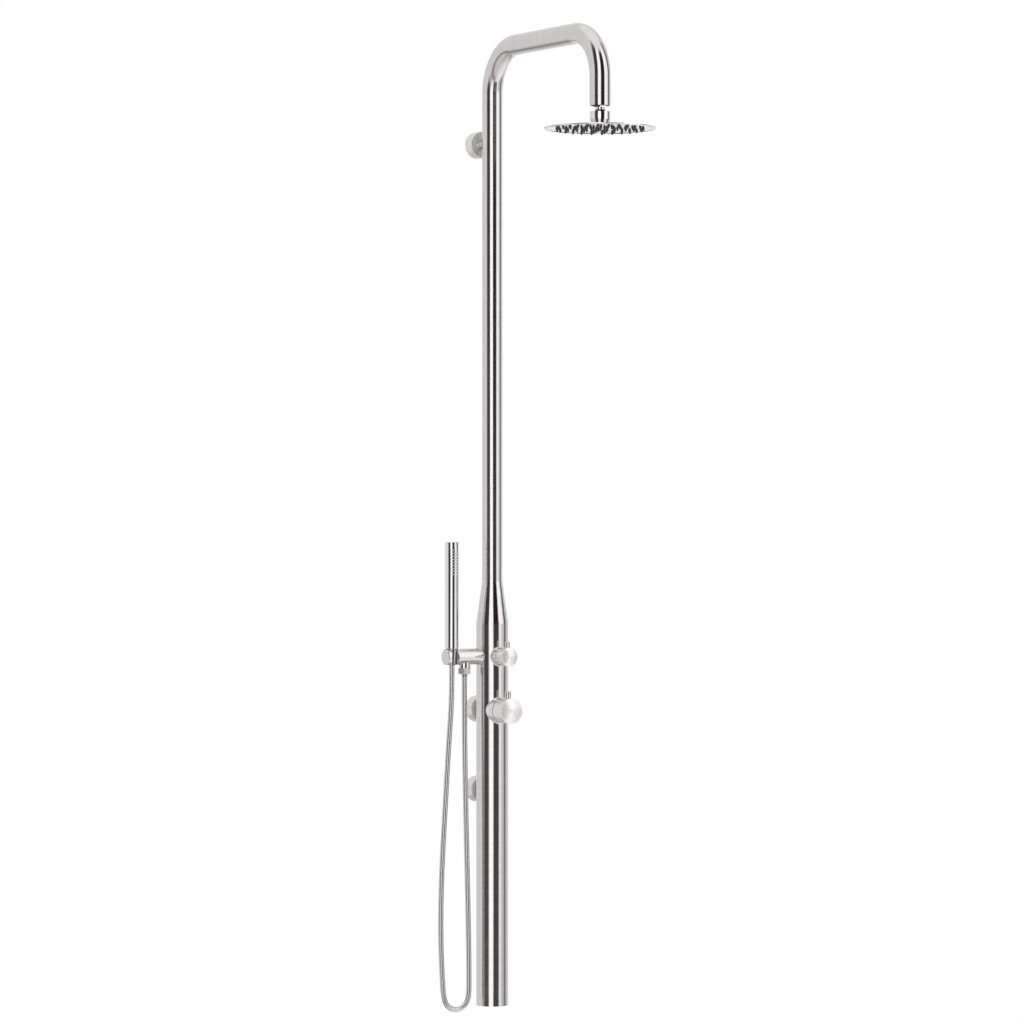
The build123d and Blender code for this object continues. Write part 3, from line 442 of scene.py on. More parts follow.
def turned_metal(name, colour, roughness, node=None, axis=None, fineness=3000.0,
                 depth=0.00002, brushed=0.0, ring_shade=0.9, satin=0.0):
    """Metal turned on a lathe: by its unwrap, or about a carried-over node's own axis.

    Satin is the share of the light that a blasted surface scatters evenly.
    """
    key = name if node is None else name + "." + node
    if key in bpy.data.materials:
        return bpy.data.materials[key]
    material, tree, shader = metal(key, colour, roughness)
    shader.inputs["Metallic"].default_value = 1 - satin
    rings = placed(tree, lathe_group())
    rings.inputs["Fineness"].default_value = fineness
    if node is None:
        place = add_node(tree, "ShaderNodeUVMap", uv_map="around")
        parts = add_node(tree, "ShaderNodeSeparateXYZ")
        link(tree, place.outputs["UV"], parts.inputs["Vector"])
        link(tree, parts.outputs["Y"], rings.inputs["Distance"])
        tangent = add_node(tree, "ShaderNodeTangent", direction_type="UV_MAP", uv_map="around")
    else:
        way = placed(tree, axis_group())
        way.inputs["Centre"].default_value = span(node)[2]
        way.inputs["Axis"].default_value = axis
        link(tree, way.outputs["Distance"], rings.inputs["Distance"])
        direction = "X" if axis.x else "Y" if axis.y else "Z"
        tangent = add_node(tree, "ShaderNodeTangent", direction_type="RADIAL", axis=direction)
    marks = placed(tree, handling_group())
    link(tree, tinted(tree, rings.outputs["Wide rings"], shaded(colour, ring_shade),
                      shaded(colour, 2 - ring_shade)), shader.inputs["Base Color"])
    mixed = calc(tree, "ADD", ranged(tree, rings.outputs["Rings"], -0.04, 0.04),
                 ranged(tree, marks.outputs["Marks"], roughness, roughness + 0.05))
    link(tree, mixed, shader.inputs["Roughness"])
    bumped(tree, shader, rings.outputs["Rings"], depth)
    if brushed > 0:
        shader.inputs["Anisotropic"].default_value = brushed
        shader.inputs["Anisotropic Rotation"].default_value = 0.25
        link(tree, tangent.outputs["Tangent"], shader.inputs["Tangent"])
    else:
        tree.nodes.remove(tangent)
    return material


def tube_steel(name, unwrapped):
    """Brushed stainless tube: strokes run round the tube, so bands of light stay sharp."""
    if name in bpy.data.materials:
        return bpy.data.materials[name]
    colour = tuple(looks().steel)
    roughness = looks().tube_roughness
    material, tree, shader = metal(name, colour, roughness)
    strokes = placed(tree, grain_group())
    stretch = add_node(tree, "ShaderNodeMapping")
    if unwrapped:
        place = add_node(tree, "ShaderNodeUVMap", uv_map="around")
        stretch.inputs["Scale"].default_value = (14, 2600, 1)
        link(tree, place.outputs["UV"], stretch.inputs["Vector"])
        tangent = add_node(tree, "ShaderNodeTangent", direction_type="UV_MAP", uv_map="around")
    else:
        place = add_node(tree, "ShaderNodeTexCoord")
        stretch.inputs["Scale"].default_value = (75, 75, 2600)
        link(tree, place.outputs["Object"], stretch.inputs["Vector"])
        tangent = add_node(tree, "ShaderNodeTangent", direction_type="RADIAL", axis="Z")
    link(tree, stretch.outputs["Vector"], strokes.inputs["Vector"])
    link(tree, tangent.outputs["Tangent"], shader.inputs["Tangent"])
    shader.inputs["Anisotropic"].default_value = 0.55
    shader.inputs["Anisotropic Rotation"].default_value = 0.25
    link(tree, tinted(tree, strokes.outputs["Patches"], shaded(colour, 0.93),
                      shaded(colour, 1.06)), shader.inputs["Base Color"])
    marks = placed(tree, handling_group())
    mixed = calc(tree, "ADD", ranged(tree, strokes.outputs["Streak"], -0.05, 0.05),
                 ranged(tree, marks.outputs["Marks"], roughness, roughness + 0.04))
    link(tree, mixed, shader.inputs["Roughness"])
    bumped(tree, shader, strokes.outputs["Streak"], 0.00002)
    return material


def brushed_plate(name, colour, roughness):
    """Flat sheet steel with straight satin strokes along X."""
    if name in bpy.data.materials:
        return bpy.data.materials[name]
    material, tree, shader = metal(name, colour, roughness)
    strokes = placed(tree, grain_group())
    place = add_node(tree, "ShaderNodeTexCoord")
    stretch = add_node(tree, "ShaderNodeMapping")
    stretch.inputs["Scale"].default_value = (40, 2400, 2400)
    link(tree, place.outputs["Object"], stretch.inputs["Vector"])
    link(tree, stretch.outputs["Vector"], strokes.inputs["Vector"])
    link(tree, tinted(tree, strokes.outputs["Patches"], shaded(colour, 0.92),
                      shaded(colour, 1.06)), shader.inputs["Base Color"])
    link(tree, ranged(tree, strokes.outputs["Streak"], roughness - 0.06, roughness + 0.08),
         shader.inputs["Roughness"])
    bumped(tree, shader, strokes.outputs["Streak"], 0.00003)
    return material


def soft_material(name, colour, roughness, speckle=0.12, size=900.0, depth=0.00003):
    """Rubber, silicone or moulded plastic with a fine moulded skin."""
    if name in bpy.data.materials:
        return bpy.data.materials[name]
    material, tree, shader = new_material(name)
    place = add_node(tree, "ShaderNodeTexCoord")
    noise = add_node(tree, "ShaderNodeTexNoise")
    noise.inputs["Scale"].default_value = size
    noise.inputs["Detail"].default_value = 4
    link(tree, place.outputs["Object"], noise.inputs["Vector"])
    marks = placed(tree, handling_group())
    link(tree, tinted(tree, marks.outputs["Haze"], colour, shaded(colour, 1 + speckle)),
         shader.inputs["Base Color"])
    link(tree, ranged(tree, noise.outputs["Fac"], roughness - 0.08, roughness + 0.08),
         shader.inputs["Roughness"])
    bumped(tree, shader, noise.outputs["Fac"], depth)
    return material


def hose_skin():
    """Smooth hose: a clear skin over silver foil that is wound in a close spiral."""
    name = "hose_silver_foil"
    if name in bpy.data.materials:
        return bpy.data.materials[name]
    colour = tuple(looks().hose_silver)
    material, tree, shader = new_material(name)
    place = add_node(tree, "ShaderNodeUVMap", uv_map="around")
    parts = add_node(tree, "ShaderNodeSeparateXYZ")
    link(tree, place.outputs["UV"], parts.inputs["Vector"])
    turns_per_metre = 420
    turn = calc(tree, "ADD", parts.outputs["X"],
                calc(tree, "MULTIPLY", parts.outputs["Y"], turns_per_metre))
    saw = calc(tree, "FRACT", turn)
    ridge = calc(tree, "SINE", calc(tree, "MULTIPLY", saw, math.pi))
    marks = placed(tree, handling_group())
    link(tree, tinted(tree, ridge, shaded(colour, 0.80), shaded(colour, 1.04)),
         shader.inputs["Base Color"])
    link(tree, ranged(tree, marks.outputs["Marks"], 0.20, 0.27), shader.inputs["Roughness"])
    shader.inputs["Metallic"].default_value = 1
    shader.inputs["Coat Weight"].default_value = 0.6
    shader.inputs["Coat Roughness"].default_value = 0.06
    bumped(tree, shader, ridge, 0.00008)
    return material


# Mesh helpers
def new_piece(name, mesh, material, body):
    """Links a mesh to the scene with a material; it rides on a body unless body is None."""
    piece = bpy.data.objects.new(name, mesh)
    bpy.context.scene.collection.objects.link(piece)
    piece.data.materials.clear()
    piece.data.materials.append(material)
    if body:
        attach(piece, body)
    return piece


def finish_mesh(name, mesh_builder, sharp=35):
    """Turns a bmesh into a mesh with smooth shading and sharp edges by angle."""
    mesh = bpy.data.meshes.new(name)
    bmesh.ops.remove_doubles(mesh_builder, verts=mesh_builder.verts, dist=1e-7)
    bmesh.ops.recalc_face_normals(mesh_builder, faces=mesh_builder.faces)
    mesh_builder.to_mesh(mesh)
    mesh_builder.free()
    mesh.shade_smooth()
    mesh.set_sharp_from_angle(angle=math.radians(sharp))
    return mesh


def side_axes(axis):
    """Two directions square to an axis and to each other."""
    first = X_AXIS if abs(axis.x) < 0.9 else Z_AXIS
    first = (first - axis * first.dot(axis)).normalized()
    return first, axis.cross(first)


def eased(outline, steps=4):
    """Rounds an outline: a point with a third number gets an arc of that size."""
    points = []
    for index, point in enumerate(outline):
        here = Vector(point[:2])
        ease = point[2] if len(point) > 2 else 0
        if ease <= 0 or index in (0, len(outline) - 1):
            points.append(here)
            continue
        before = Vector(outline[index - 1][:2])
        after = Vector(outline[index + 1][:2])
        start = here + (before - here).normalized() * ease
        end = here + (after - here).normalized() * ease
        for step in range(steps + 1):
            t = step / steps
            points.append(start.lerp(here, t).lerp(here.lerp(end, t), t))
    return points


def lathe(builder, outline, origin, axis, steps):
    """Adds a turned surface; the outline's points are (radius, distance along the axis)."""
    layer = builder.loops.layers.uv.get("around") or builder.loops.layers.uv.new("around")
    first, second = side_axes(axis)
    rings = []
    lengths = [0.0]
    for index, (radius, distance) in enumerate(outline):
        centre = origin + axis * distance
        if index:
            before = outline[index - 1]
            lengths.append(lengths[-1] + math.hypot(radius - before[0], distance - before[1]))
        ring = []
        for step in range(steps if radius > 1e-7 else 1):
            angle = 2 * math.pi * step / steps
            direction = first * math.cos(angle) + second * math.sin(angle)
            ring.append(builder.verts.new(centre + direction * radius))
        rings.append(ring)
    for row, (lower, upper) in enumerate(zip(rings, rings[1:])):
        for step in range(steps):
            corners = {}
            for ring, turn, level in (
                (lower, step, row), (lower, step + 1, row),
                (upper, step + 1, row + 1), (upper, step, row + 1),
            ):
                corners.setdefault(ring[turn % len(ring)], (turn / steps, lengths[level]))
            if len(corners) > 2:
                face = builder.faces.new(corners)
                for loop in face.loops:
                    loop[layer].uv = corners[loop.vert]


def turned(name, outline, origin, axis, material, body, steps=None, ease_steps=4):
    """A piece made on a lathe from one outline."""
    builder = bmesh.new()
    lathe(builder, eased(outline, ease_steps), origin, axis, steps or sizes().round_steps)
    return new_piece(name, finish_mesh(name, builder), material, body)


def swept(name, points, radius, steps, closed_ends=True):
    """A round tube along points, with UVs: across is the turn, up is the length in metres."""
    builder = bmesh.new()
    layer = builder.loops.layers.uv.new("around")
    tangents = []
    for index in range(len(points)):
        before = points[max(index - 1, 0)]
        after = points[min(index + 1, len(points) - 1)]
        tangents.append((after - before).normalized())
    normal = side_axes(tangents[0])[0]
    rings = []
    lengths = [0.0]
    for index, (centre, tangent) in enumerate(zip(points, tangents)):
        normal = (normal - tangent * normal.dot(tangent)).normalized()
        across = tangent.cross(normal)
        ring = []
        for step in range(steps):
            angle = 2 * math.pi * step / steps
            direction = normal * math.cos(angle) + across * math.sin(angle)
            ring.append(builder.verts.new(centre + direction * radius))
        rings.append(ring)
        if index:
            lengths.append(lengths[-1] + (centre - points[index - 1]).length)
    for index, (lower, upper) in enumerate(zip(rings, rings[1:])):
        for step in range(steps):
            after = (step + 1) % steps
            face = builder.faces.new((lower[step], lower[after], upper[after], upper[step]))
            corners = (
                (step, index), (step + 1, index), (step + 1, index + 1), (step, index + 1),
            )
            for loop, (turn, row) in zip(face.loops, corners):
                loop[layer].uv = (turn / steps, lengths[row])
    if closed_ends:
        builder.faces.new(list(reversed(rings[0])))
        builder.faces.new(rings[-1])
    return builder


def arc_points(centre, start, end, radius, steps):
    """Points of a quarter turn about a centre, from one direction to another."""
    made = []
    for step in range(steps + 1):
        angle = math.pi / 2 * step / steps
        made.append(centre + (start * math.cos(angle) + end * math.sin(angle)) * radius)
    return made


def bar_points(start, end, step):
    """Evenly spaced points between two ends, both included."""
    count = max(1, round((end - start).length / step))
    return [start.lerp(end, index / count) for index in range(count + 1)]


def thread(builder, origin, axis, radius, depth, pitch, length, steps):
    """A screw thread: a helix of pointed ridges with flat-cut ends."""
    first, second = side_axes(axis)
    rows_per_turn = 4
    profile = (0.0, 0.72, 1.0, 0.72)
    columns = []
    turns = length / pitch
    rows = int(turns * rows_per_turn) + 1
    for step in range(steps):
        angle = 2 * math.pi * step / steps
        direction = first * math.cos(angle) + second * math.sin(angle)
        shift = step / steps * pitch
        column = []
        for row in range(rows + rows_per_turn + 1):
            distance = (row / rows_per_turn - 1) * pitch + shift
            height = profile[row % rows_per_turn]
            held = min(max(distance, 0), length)
            near_end = min(held, length - held) / pitch
            height *= min(1.0, near_end)
            reach = radius - depth + depth * height
            column.append(builder.verts.new(origin + axis * held + direction * reach))
        columns.append(column)
    for step in range(steps):
        here = columns[step]
        there = columns[(step + 1) % steps]
        jump = rows_per_turn if step == steps - 1 else 0
        for row in range(len(here) - 1 - jump):
            corners = [here[row + jump], here[row + 1 + jump], there[row + 1], there[row]]
            if len({tuple(round(c, 8) for c in v.co) for v in corners}) > 2:
                builder.faces.new(corners)


def dress(node, material):
    """Gives a carried-over node its finish."""
    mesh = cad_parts[node].data
    mesh.materials.clear()
    mesh.materials.append(material)


class SHOWER_OT_stage(bpy.types.Operator):
    """Floor, studio light, world and camera"""

    bl_idname = "shower.stage"
    bl_label = "Stage"

    def execute(self, context):
        settings = context.scene.shower_stage
        turn = settings.view_turn
        to_camera = Vector((-math.sin(turn), -math.cos(turn), 0))
        right = Vector((math.cos(turn), -math.sin(turn), 0))
        column = span("lower_tube")[2]
        aim = Vector((column.x, column.y, settings.camera_height)) + right * settings.camera_side

        camera = bpy.data.objects.new("camera", bpy.data.cameras.new("camera"))
        context.scene.collection.objects.link(camera)
        camera.data.lens = settings.focal_length
        camera.data.sensor_width = 36
        camera.data.clip_end = 50
        camera.location = aim + to_camera * settings.camera_distance
        camera.rotation_euler = (-to_camera).to_track_quat("-Z", "Y").to_euler()
        context.scene.camera = camera

        builder = bmesh.new()
        bmesh.ops.create_circle(
            builder, cap_ends=True, radius=settings.floor_radius, segments=128
        )
        floor = new_piece("floor", finish_mesh("floor", builder), self.floor_paint(), None)
        floor.location = (column.x, column.y, -settings.floor_depth)
        floor.visible_glossy = False

        self.light(context, "key", column + to_camera * 2.2 - right * 1.8 + Z_AXIS * 2.6, 1.6, 26)
        self.light(context, "fill", column + to_camera * 2.4 + right * 2.2 + Z_AXIS * 1.4, 1.6, 14)
        self.surroundings(context, to_camera, right)
        context.scene.view_settings.view_transform = "Standard"
        return {"FINISHED"}

    def light(self, context, name, place, size, power):
        """A soft square lamp that points at the middle of the column."""
        lamp = bpy.data.lights.new(name, "AREA")
        lamp.shape = "SQUARE"
        lamp.size = size
        lamp.energy = power
        holder = bpy.data.objects.new(name, lamp)
        context.scene.collection.objects.link(holder)
        holder.location = place
        holder.visible_glossy = False
        middle = span("reducer_cone")[2]
        holder.rotation_euler = (middle - place).to_track_quat("-Z", "Y").to_euler()

    def floor_paint(self):
        """Pale floor that keeps shadows and melts into the white round it."""
        material, tree, shader = new_material("floor_pale")
        noise = add_node(tree, "ShaderNodeTexNoise")
        noise.inputs["Scale"].default_value = 3
        link(tree, tinted(tree, noise.outputs["Fac"], (0.90, 0.90, 0.90), (0.92, 0.92, 0.92)),
             shader.inputs["Base Color"])
        shader.inputs["Roughness"].default_value = 0.9
        shader.inputs["Specular IOR Level"].default_value = 0.1
        shader.inputs["Emission Color"].default_value = (1, 1, 1, 1)
        shader.inputs["Emission Strength"].default_value = 0.22
        return material

    def surroundings(self, context, to_camera, right):
        """White to the eye, plain to matt surfaces, and a banded studio to polished metal."""
        world = bpy.data.worlds.new("studio")
        context.scene.world = world
        world.use_nodes = True
        tree = world.node_tree
        background = tree.nodes["Background"]
        place = add_node(tree, "ShaderNodeTexCoord")

        def measured(direction):
            """How far the seen direction points that way."""
            dot = add_node(tree, "ShaderNodeVectorMath", operation="DOT_PRODUCT")
            link(tree, place.outputs["Generated"], dot.inputs[0])
            dot.inputs[1].default_value = direction
            return dot.outputs["Value"]

        round_turn = calc(tree, "ARCTAN2", measured(right), measured(to_camera))
        share = calc(tree, "MULTIPLY_ADD", round_turn, 1 / (2 * math.pi), 0.5)
        height = measured(Z_AXIS)

        def banded(level):
            """The studio's bands at one level: 1 far under the horizon, 2 under, 3 over it."""
            bands = add_node(tree, "ShaderNodeValToRGB")
            stops = bands.color_ramp.elements
            while len(stops) > 1:
                stops.remove(stops[-1])
            for index, band in enumerate(STUDIO_BANDS):
                position = band[0] / 360 + 0.5
                stop = stops[0] if index == 0 else stops.new(position)
                stop.position = position
                stop.color = (band[level], band[level], band[level], 1)
            link(tree, share, bands.inputs["Fac"])
            return bands.outputs["Color"]

        def capped(seen, value, start, end):
            """Goes over to another value where the height runs from start to end."""
            cap = add_node(tree, "ShaderNodeMapRange", interpolation_type="SMOOTHSTEP")
            cap.inputs["From Min"].default_value = start
            cap.inputs["From Max"].default_value = end
            link(tree, height, cap.inputs["Value"])
            mix = add_node(tree, "ShaderNodeMix", data_type="FLOAT")
            link(tree, cap.outputs["Result"], mix.inputs["Factor"])
            link(tree, seen, mix.inputs["A"])
            if isinstance(value, float):
                mix.inputs["B"].default_value = value
            else:
                link(tree, value, mix.inputs["B"])
            return mix.outputs["Result"]

        def leaning(at_left):
            """Pale at the right, and another value at the left."""
            side = add_node(tree, "ShaderNodeMapRange", interpolation_type="SMOOTHSTEP")
            side.inputs["From Min"].default_value = -0.1
            side.inputs["From Max"].default_value = 0.65
            side.inputs["To Min"].default_value = at_left
            side.inputs["To Max"].default_value = 0.78
            link(tree, measured(right), side.inputs["Value"])
            return side.outputs["Result"]

        # Ceiling above, and a dark strip at the left where the floor starts
        studio_light = capped(banded(2), banded(3), -0.1, 0.1)
        studio_light = capped(studio_light, 0.72, 0.74, 0.88)
        studio_light = capped(studio_light, banded(1), -0.13, -0.34)
        studio_light = capped(studio_light, leaning(0.2), -0.44, -0.54)
        studio_light = capped(studio_light, leaning(0.52), -0.54, -0.80)
        brightest = 1.58
        studio = add_node(tree, "ShaderNodeVectorMath", operation="SCALE")
        link(tree, studio_light, studio.inputs[0])
        studio.inputs["Scale"].default_value = brightest

        rays = add_node(tree, "ShaderNodeLightPath")
        mirrored = add_node(tree, "ShaderNodeMix", data_type="RGBA")
        mirrored.inputs["A"].default_value = (0.86, 0.86, 0.87, 1)
        link(tree, calc(tree, "MAXIMUM", rays.outputs["Is Glossy Ray"],
                        rays.outputs["Is Transmission Ray"]), mirrored.inputs["Factor"])
        link(tree, studio.outputs["Vector"], mirrored.inputs["B"])
        seen = add_node(tree, "ShaderNodeMix", data_type="RGBA")
        link(tree, rays.outputs["Is Camera Ray"], seen.inputs["Factor"])
        link(tree, mirrored.outputs["Result"], seen.inputs["A"])
        seen.inputs["B"].default_value = (1, 1, 1, 1)
        link(tree, seen.outputs["Result"], background.inputs["Color"])
        background.inputs["Strength"].default_value = 1


class SHOWER_OT_column(bpy.types.Operator):
    """Wide tube, reducer, bent riser and foot plug"""

    bl_idname = "shower.column"
    bl_label = "Column"

    def execute(self, context):
        low, high, middle = span("riser_tube")
        radius = (high.x - low.x) / 2
        bend = sizes().bend_radius
        foot = Vector((middle.x, high.y - radius, low.z))
        arm_z = high.z - radius
        reach_y = low.y + radius
        drop_end = span("arm_end_bush")[0].z
        back_corner = Vector((foot.x, foot.y - bend, arm_z - bend))
        front_corner = Vector((foot.x, reach_y + bend, arm_z - bend))
        steps = 40
        points = bar_points(foot, Vector((foot.x, foot.y, arm_z - bend)), 0.04)
        points += arc_points(back_corner, Y_AXIS, Z_AXIS, bend, steps)[1:]
        points += bar_points(points[-1], Vector((foot.x, reach_y + bend, arm_z)), 0.04)[1:]
        points += arc_points(front_corner, Z_AXIS, -Y_AXIS, bend, steps)[1:]
        points += bar_points(points[-1], Vector((foot.x, reach_y, drop_end)), 0.04)[1:]
        builder = swept("riser", points, radius, sizes().round_steps)
        riser = new_piece(
            "riser", finish_mesh("riser", builder, 40), tube_steel("brushed_tube_bent", True),
            "column",
        )
        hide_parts("riser_tube")
        straight = tube_steel("brushed_tube_straight", False)
        for node in ("lower_tube", "reducer_cone", "foot_plug"):
            dress(node, straight)
        return {"FINISHED"}


class SHOWER_OT_wall_fixings(bpy.types.Operator):
    """Rosettes, stems, threaded nipples, stud and wall seals"""

    bl_idname = "shower.wall_fixings"
    bl_label = "Wall fixings"

    def execute(self, context):
        steel = tuple(looks().steel)
        self.rosettes(steel)
        for node in ("upper_stem", "inlet_stems"):
            dress(node, turned_metal("stem_steel", steel, 0.22, node, Y_AXIS))
        screw = metal("screw_zinc", (0.5, 0.5, 0.49), 0.32)[0]
        for node in ("upper_stud_nut", "upper_rosette_grub"):
            dress(node, screw)
        dress("upper_anchor", metal("anchor_cast", (0.62, 0.62, 0.63), 0.45)[0])
        black = soft_material("seal_black", (0.03, 0.03, 0.03), 0.6)
        dress("wall_seals", black)
        self.nipples()
        self.stud(screw)
        return {"FINISHED"}

    def rosettes(self, steel):
        """Turned cups over the wall fixings, with ring-brushed fronts."""
        finish = turned_metal("rosette_steel", shaded(steel, 1.1), 0.17, depth=0.00001,
                              brushed=0.95, satin=0.3)
        hole = (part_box("inlet_stems")[1].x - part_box("inlet_stems")[0].x) / 2
        for node, bore in (("upper_rosette", 0), ("inlet_rosettes", hole)):
            low, high, middle = span(node)
            radius = (high.x - low.x) / 2
            depth = high.y - low.y
            wall = 2.5 * MM
            ease = 1.2 * MM
            builder = bmesh.new()
            heights = {low.z + radius, high.z - radius} if bore else {middle.z}
            for height in sorted(heights):
                outline = [
                    (bore, depth - wall), (radius - wall, depth - wall), (radius - wall, 0),
                    (radius, 0, ease / 4), (radius, depth, ease), (bore, depth),
                ]
                if bore:
                    outline.append((bore, depth - wall))
                lathe(builder, eased(outline), Vector((middle.x, high.y, height)), -Y_AXIS,
                      sizes().round_steps)
            name = node + "_turned"
            piece = new_piece(name, finish_mesh(name, builder), finish, "column")
            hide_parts(node)

    def nipples(self):
        """Two brass nipples with a real pipe thread behind the wall plane."""
        low, high, middle = span("inlet_nipples")
        radius = (high.x - low.x) / 2
        seal_low, seal_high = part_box("wall_seals")
        bore = (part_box("inlet_strainers")[1].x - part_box("inlet_strainers")[0].x) / 2
        depth = sizes().thread_depth
        builder = bmesh.new()
        for height in (low.z + radius, high.z - radius):
            origin = Vector((middle.x, low.y, height))
            to_wall = seal_high.y - low.y
            to_seal = seal_low.y - low.y
            groove = radius - 0.7 * MM
            outline = [
                (bore, high.y - low.y), (bore, 0), (radius, 0), (radius, to_seal),
                (groove, to_seal), (groove, to_wall), (radius - depth, to_wall),
            ]
            steps = sizes().round_steps
            lathe(builder, eased(outline), origin, Y_AXIS, steps)
            start = origin + Y_AXIS * to_wall
            length = high.y - seal_high.y
            thread(builder, start, Y_AXIS, radius, depth, sizes().thread_pitch, length, steps)
            end = [(radius - depth, length), (bore, length)]
            lathe(builder, eased(end), start, Y_AXIS, steps)
        brass = metal("brass_machined", (0.78, 0.60, 0.32), 0.24)[0]
        piece = new_piece(
            "threaded_nipples", finish_mesh("threaded_nipples", builder), brass, "column"
        )
        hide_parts("inlet_nipples")

    def stud(self, material):
        """The wall stud with its metric thread."""
        low, high, middle = span("upper_stud")
        radius = (high.x - low.x) / 2
        origin = Vector((middle.x, low.y, middle.z))
        depth = sizes().stud_pitch * 0.6
        core = radius - depth
        neck = 1.5 * MM
        in_room = -low.y
        steps = 48
        builder = bmesh.new()
        lathe(builder, eased([(0, 0), (core, 0)]), origin, Y_AXIS, steps)
        thread(builder, origin, Y_AXIS, radius, depth, sizes().stud_pitch, in_room, steps)
        lathe(builder, eased([(core, in_room), (core, in_room + neck)]), origin, Y_AXIS, steps)
        in_wall = origin + Y_AXIS * (in_room + neck)
        length = high.y - neck
        thread(builder, in_wall, Y_AXIS, radius, depth, sizes().stud_pitch, length, steps)
        lathe(builder, eased([(core, length), (0, length)]), in_wall, Y_AXIS, steps)
        piece = new_piece(
            "threaded_stud", finish_mesh("threaded_stud", builder), material, "column"
        )
        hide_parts("upper_stud")


class SHOWER_OT_controls(bpy.types.Operator):
    """Mixer and diverter: bosses, knobs and lever pins"""

    bl_idname = "shower.controls"
    bl_label = "Mixer and diverter"

    def execute(self, context):
        steel = tuple(looks().steel)
        bright = tuple(looks().bright_steel)
        for name in ("mixer", "diverter"):
            boss = name + "_boss"
            dress(boss, turned_metal("boss_steel", bright, 0.18, boss, Y_AXIS, depth=0.00001,
                                     satin=0.4))
            pin = name + "_lever_pin"
            dress(pin, turned_metal("pin_steel", bright, 0.06, pin, Z_AXIS, depth=0.000002))
            self.knob(name)
        return {"FINISHED"}

    def knob(self, name):
        """A turned knob with eased edges and a ring-brushed front."""
        node = name + "_knob"
        low, high, middle = span(node)
        radius = (high.x - low.x) / 2
        length = high.y - low.y
        ease = sizes().edge_ease
        shell = 4 * MM
        recess = 4 * MM
        dome = sizes().knob_dome
        outline = eased([
            (0, recess), (radius - shell, recess), (radius - shell, 0), (radius, 0, ease),
            (radius, length, ease), (radius - 2 * ease, length),
        ])
        front = radius - 2 * ease
        outline += [
            Vector((front * (1 - share / 12), length + dome * (1 - (1 - share / 12) ** 2)))
            for share in range(1, 13)
        ]
        origin = Vector((middle.x, high.y, middle.z))
        steel = tuple(looks().steel)
        material = turned_metal(
            "knob_steel", shaded(steel, 1.25), looks().face_roughness, fineness=2400,
            depth=0.00001, brushed=1.0, ring_shade=0.95, satin=0.42,
        )
        builder = bmesh.new()
        lathe(builder, outline, origin, -Y_AXIS, 160)
        piece = new_piece(node + "_turned", finish_mesh(node + "_turned", builder, 50), material,
                          name + "_control")
        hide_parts(node)


class SHOWER_OT_holder(bpy.types.Operator):
    """Holder arm and hose outlet"""

    bl_idname = "shower.holder"
    bl_label = "Holder arm"

    def execute(self, context):
        steel = tuple(looks().steel)
        bright = tuple(looks().bright_steel)
        dress("holder_arm", turned_metal(
            "holder_steel", steel, 0.10, "holder_arm", X_AXIS, fineness=1800, depth=0.000004,
        ))
        dress("outlet_nipple", turned_metal(
            "outlet_steel", bright, 0.07, "outlet_nipple", Z_AXIS, depth=0.000005,
        ))
        return {"FINISHED"}


